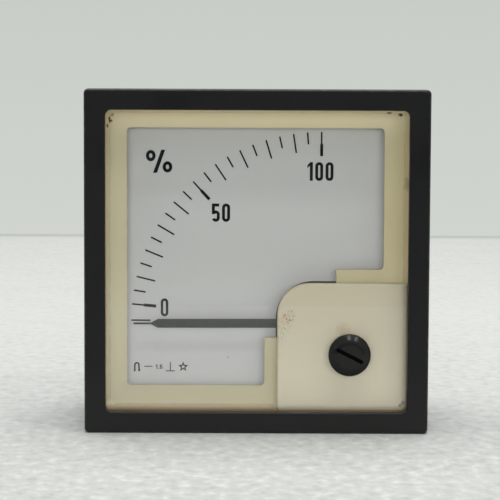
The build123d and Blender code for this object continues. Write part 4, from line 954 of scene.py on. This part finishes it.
# Painted light: the ring is painted lighter at its top, and lighter than the hood, to make up for the shade
# of the frame's lip.
ring_tone = mixed(tree, between(tree, height, 34.0 * MM, 39.0 * MM), ring_tone, RING_TOP_LIT)
cream_age_and_light = mixed(tree, between(tree, depth, CREST_Y * MM, RING_Y * MM, smooth=True), hood_tone, ring_tone)
cream_age_and_light = mixed(tree, times(tree, mould["Tone"], 0.12), cream_age_and_light, SHELF_SHADE_AND_TONE)
tanned = edge_of(tree, mask_half, MASK_CORNER, 0.4, MASK_EDGE - 0.3, 0.15)
tan_share = between(tree, height, -42.0 * MM, -38.0 * MM, 0.75, 0.45)
cream_age_and_light = mixed(tree, times(tree, tanned, tan_share), cream_age_and_light, EDGE_TAN)
# The lowest edge is darkened brown, partly by dust and partly as painted shade under the frame's lower lip.
lowered = between(tree, side, 5.0 * MM, 7.0 * MM, -0.3 * MM, 0.9 * MM)
lip_shade_and_dust = between(tree, sums(tree, "ADD", height, lowered), -42.8 * MM, -41.2 * MM, 1.0, 0.0)
cream_age_and_light = mixed(tree, times(tree, lip_shade_and_dust, 0.9), cream_age_and_light, DUST_AND_SHADE_BROWN)
lined = edge_of(tree, mask_half, MASK_CORNER, MASK_EDGE - 0.1, 0.24, 0.8)
cream_age_and_light = mixed(tree, times(tree, lined, 0.12), cream_age_and_light, DIRT)
rusty = times(tree, spot_of(tree, 7.8, hood_face, -16.2, 1.9, 0.3), 0.3)
smoky = times(tree, spot_of(tree, 24.6, hood_face, -19.4, 2.6, 0.2), 0.25)
cream_age_and_light = mixed(tree, sums(tree, "MAXIMUM", rusty, smoky), cream_age_and_light, RUST)
dirt = 0.0
for x, y, z, radius, strength in DIRT_SPOTS:
    spot = spot_of(tree, x, y, z, radius, 0.4)
    dirt = sums(tree, "MAXIMUM", dirt, times(tree, spot, strength))
grains = between(tree, noise(tree, here(tree), 2300.0, 2.0), 0.55, 0.62)
for x, z, radius, strength in GRAIN_PATCHES:
    patch = times(tree, spot_of(tree, x, hood_face, z, radius, 0.3), strength)
    dirt = sums(tree, "MAXIMUM", dirt, times(tree, grains, patch))
paint(tree, shader, mixed(tree, dirt, cream_age_and_light, DIRT), between(tree, mould["Gloss"], 0.0, 1.0, 0.42, 0.56))
raise_bump(tree, shader, mould["Height"], 0.000012)
dress(cream, "scale_mask")


# The window is a clear acrylic pane behind the frame's lip, with a soft seal round its edge.
# The lamps shine through it, so it throws no shadow on the dial.
clear, tree, shader = new_finish("clear_pane", {
    "Base Color": (0.985, 0.99, 0.985, 1.0), "Roughness": 0.0, "IOR": 1.49, "Transmission Weight": 1.0})
way = put(tree, "ShaderNodeLightPath").outputs
lit_through = sums(tree, "MAXIMUM", way["Is Shadow Ray"], way["Is Diffuse Ray"])
open_air = put(tree, "ShaderNodeBsdfTransparent", {"Color": (0.97, 0.975, 0.97, 1.0)})
glazed = put(tree, "ShaderNodeMixShader", {0: lit_through, 1: shader.outputs[0], 2: open_air.outputs[0]})
tree.links.new(glazed.outputs[0], tree.nodes["Material Output"].inputs["Surface"])
dress(clear, "front_window")

rubber = moulded(
    "soft_rubber", shade(28, 28, 29), shade(42, 42, 42), (0.6, 0.75), 3500.0, 120.0, 0.25, depth=0.00002)
dress(rubber, "window_seal", "adjuster_seal")


# The zero adjuster is a black moulded knob with a screwdriver slot, pressed through the window.
# Its face falls away in a soft bevel towards the rim. A spring clip holds the grooved neck behind the window,
# and the pin at the neck's end moves the lever. It is turned from one outline, and the slot is cut out of it.
KNOB_FLAT = 3.1
KNOB_DOME = 0.235
KNOB_DOME_END = 4.6
KNOB_CONE_END = 5.6
KNOB_RADIUS = 5.95
KNOB_POINTS = 96
BEND_STEPS = 8
KNOB_SHARP = 35
SLOT_LENGTH = 8.3
SLOT_WIDTH = 1.1
SLOT_DEPTH = 1.0
SLOT_TURN = radians(-27.0)
SLOT_STEPS = 12
CUTTER_PROUD = 0.5
NECK_RADIUS = 3.0
NECK_GROOVE = 2.6
NECK_END = 2.3
CLIP_PLAY = 0.05
PIN_RADIUS = 0.6
PIN_THROW = 1.2
PIN_TURN = radians(-46.4)
PIN_SUNK = 0.2
PIN_POINTS = 24
KNOB_BLACK = shade(27, 27, 27), shade(34, 34, 33)
SLOT_SHADE_BLACK = shade(9, 9, 9)
knob_low, knob_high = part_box("zero_adjuster")
knob_x, knob_z = (knob_low.x + knob_high.x) / 2, (knob_low.z + knob_high.z) / 2
knob_front = knob_low.y / MM
knob_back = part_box("adjuster_seal")[0].y / MM
clip_low, clip_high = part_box("adjuster_clip")

knob_black, tree, shader = new_finish("knob_black", {"Specular IOR Level": 0.2})
mould = mould_of(tree, 1800.0, 160.0)
centred = put(tree, "ShaderNodeVectorMath", {0: here(tree), 1: (knob_x, knob_low.y, knob_z)},
              operation="SUBTRACT").outputs[0]
turned = put(tree, "ShaderNodeVectorRotate", {"Vector": centred, "Angle": SLOT_TURN}, rotation_type="Y_AXIS")
along, sunk, across = put(tree, "ShaderNodeSeparateXYZ", {0: turned.outputs[0]}).outputs
slot_side, slot_end = SLOT_WIDTH / 2 * MM, SLOT_LENGTH / 2 * MM
across = between(tree, sums(tree, "ABSOLUTE", across), slot_side, slot_side * 1.1, 1.0, 0.0)
along = between(tree, sums(tree, "ABSOLUTE", along), slot_end, slot_end * 1.02, 1.0, 0.0)
# Painted shade: the deep part of the slot is painted near black.
in_slot = times(tree, times(tree, across, along), between(tree, sunk, 0.4 * MM, 0.7 * MM))
face_tone = mixed(tree, mould["Tone"], *KNOB_BLACK)
dull = between(tree, mould["Gloss"], 0.0, 1.0, 0.2, 0.25)
paint(tree, shader, mixed(tree, in_slot, face_tone, SLOT_SHADE_BLACK), sums(tree, "MAXIMUM", dull, in_slot))
raise_bump(tree, shader, mould["Height"], 0.000004)

outline = [(0.0, knob_front), (KNOB_FLAT, knob_front)]
for i in range(1, BEND_STEPS + 1):
    past_flat = (KNOB_DOME_END - KNOB_FLAT) * i / BEND_STEPS
    outline.append((KNOB_FLAT + past_flat, knob_front + KNOB_DOME * past_flat ** 2))
cone_slope = 2 * KNOB_DOME * (KNOB_DOME_END - KNOB_FLAT)
cone_y = outline[-1][1] + cone_slope * (KNOB_CONE_END - KNOB_DOME_END)
lean = atan(cone_slope)
bend = (KNOB_RADIUS - KNOB_CONE_END) / (1 - sin(lean))
for i in range(BEND_STEPS + 1):
    turn = lean + (pi / 2 - lean) * i / BEND_STEPS
    outline.append((KNOB_CONE_END + bend * (sin(turn) - sin(lean)), cone_y + bend * (cos(lean) - cos(turn))))
groove_front, groove_back = clip_low.y / MM - CLIP_PLAY, clip_high.y / MM + CLIP_PLAY
outline += [(KNOB_RADIUS, knob_back), (NECK_RADIUS, knob_back), (NECK_RADIUS, groove_front),
            (NECK_GROOVE, groove_front), (NECK_GROOVE, groove_back), (NECK_RADIUS, groove_back),
            (NECK_RADIUS, NECK_END), (0.0, NECK_END)]


def turned_shape(shape, x, z, outline, points):
    """A closed turned shape about an axis, from its outline in millimetres."""
    rings = []
    for radius, y in outline:
        ring = []
        for i in range(points if radius else 1):
            turn = 2 * pi * i / points
            ring.append(shape.verts.new((x + radius * MM * cos(turn), y * MM, z + radius * MM * sin(turn))))
        rings.append(ring)
    for first, second in zip(rings, rings[1:]):
        for i in range(points):
            near = [first[i % len(first)], first[(i + 1) % len(first)]]
            far = [second[(i + 1) % len(second)], second[i % len(second)]]
            shape.faces.new(list(dict.fromkeys(near + far)))


shape = bmesh.new()
turned_shape(shape, knob_x, knob_z, outline, KNOB_POINTS)
knob = add_mesh("adjuster_knob", shape, knob_black)
slot_outline = []
for end in (1, -1):
    for i in range(SLOT_STEPS + 1):
        turn = pi * i / SLOT_STEPS - end * pi / 2
        along = end * (SLOT_LENGTH - SLOT_WIDTH) / 2 + SLOT_WIDTH / 2 * cos(turn)
        slot_outline.append((along, SLOT_WIDTH / 2 * sin(turn)))
shape = bmesh.new()
sides = []
for y in (knob_front - CUTTER_PROUD, knob_front + SLOT_DEPTH):
    sides.append([shape.verts.new((knob_x + (a * cos(SLOT_TURN) - b * sin(SLOT_TURN)) * MM, y * MM,
                                   knob_z + (a * sin(SLOT_TURN) + b * cos(SLOT_TURN)) * MM))
                  for a, b in slot_outline])
join_rings(shape, sides, capped=True)
cutter = add_mesh("slot_cutter", shape, knob_black)
cut = knob.modifiers.new("slot", "BOOLEAN")
cut.operation, cut.solver, cut.object = "DIFFERENCE", "EXACT", cutter
settle(knob, knob_black, KNOB_SHARP)
bpy.data.meshes.remove(cutter.data)
shape = bmesh.new()
shape.from_mesh(knob.data)
pin_x, pin_z = knob_x + PIN_THROW * MM * cos(PIN_TURN), knob_z + PIN_THROW * MM * sin(PIN_TURN)
pin_start, pin_end = NECK_END - PIN_SUNK, knob_high.y / MM
pin_outline = [(0.0, pin_start), (PIN_RADIUS, pin_start), (PIN_RADIUS, pin_end), (0.0, pin_end)]
turned_shape(shape, pin_x, pin_z, pin_outline, PIN_POINTS)
bmesh.ops.recalc_face_normals(shape, faces=shape.faces)
shape.to_mesh(knob.data)
shape.free()
knob.data.shade_smooth()
knob.data.set_sharp_from_angle(angle=radians(KNOB_SHARP))
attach(knob, "adjuster")
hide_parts("zero_adjuster")
dress(zinc_steel, "adjuster_clip")


# The front frame is snapped over the housing and holds the window with its lip.
# It is black plastic with a fine mould grain, rubbed a little grey along its outer edges, partly as wear and
# partly as a painted highlight, and a little lighter grey towards the bottom.
FRAME_CORNER = 1.3
EDGE_WEAR_AND_HIGHLIGHT_WIDTH = 0.5
LOWER_GREY_HEIGHT = 0.02
FRAME_BLACK = shade(12, 12, 14)
FRAME_LOWER_GREY = shade(29, 29, 29)
FRAME_EDGE_WEAR_AND_HIGHLIGHT = shade(82, 82, 80)
frame_black, tree, shader = new_finish("frame_black", {"Specular IOR Level": 0.35})
mould = mould_of(tree, 2600.0, 50.0)
# The frame is a little lighter grey towards the bottom.
grain_and_lower_grey = between(tree, axes(tree)[2], cad_low.z, cad_low.z + LOWER_GREY_HEIGHT, 0.75, 0.1)
grain_and_lower_grey = sums(tree, "MULTIPLY_ADD", mould["Tone"], 0.3, grain_and_lower_grey)
# Painted light: the grey along the outer edges is partly wear and partly a painted highlight.
edge_wear_and_highlight = times(tree, edge_of(tree, cad_high.x / MM, FRAME_CORNER, 0.0, EDGE_WEAR_AND_HIGHLIGHT_WIDTH, 0.6), 0.5)
tone = mixed(tree, edge_wear_and_highlight, mixed(tree, grain_and_lower_grey, FRAME_BLACK, FRAME_LOWER_GREY), FRAME_EDGE_WEAR_AND_HIGHLIGHT)
paint(tree, shader, tone, between(tree, mould["Gloss"], 0.0, 1.0, 0.4, 0.55))
raise_bump(tree, shader, mould["Height"], 0.00002)
dress(frame_black, "front_bezel")


# The box of the finished model is worked out, as the CAD part's box was at the start.
low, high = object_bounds()
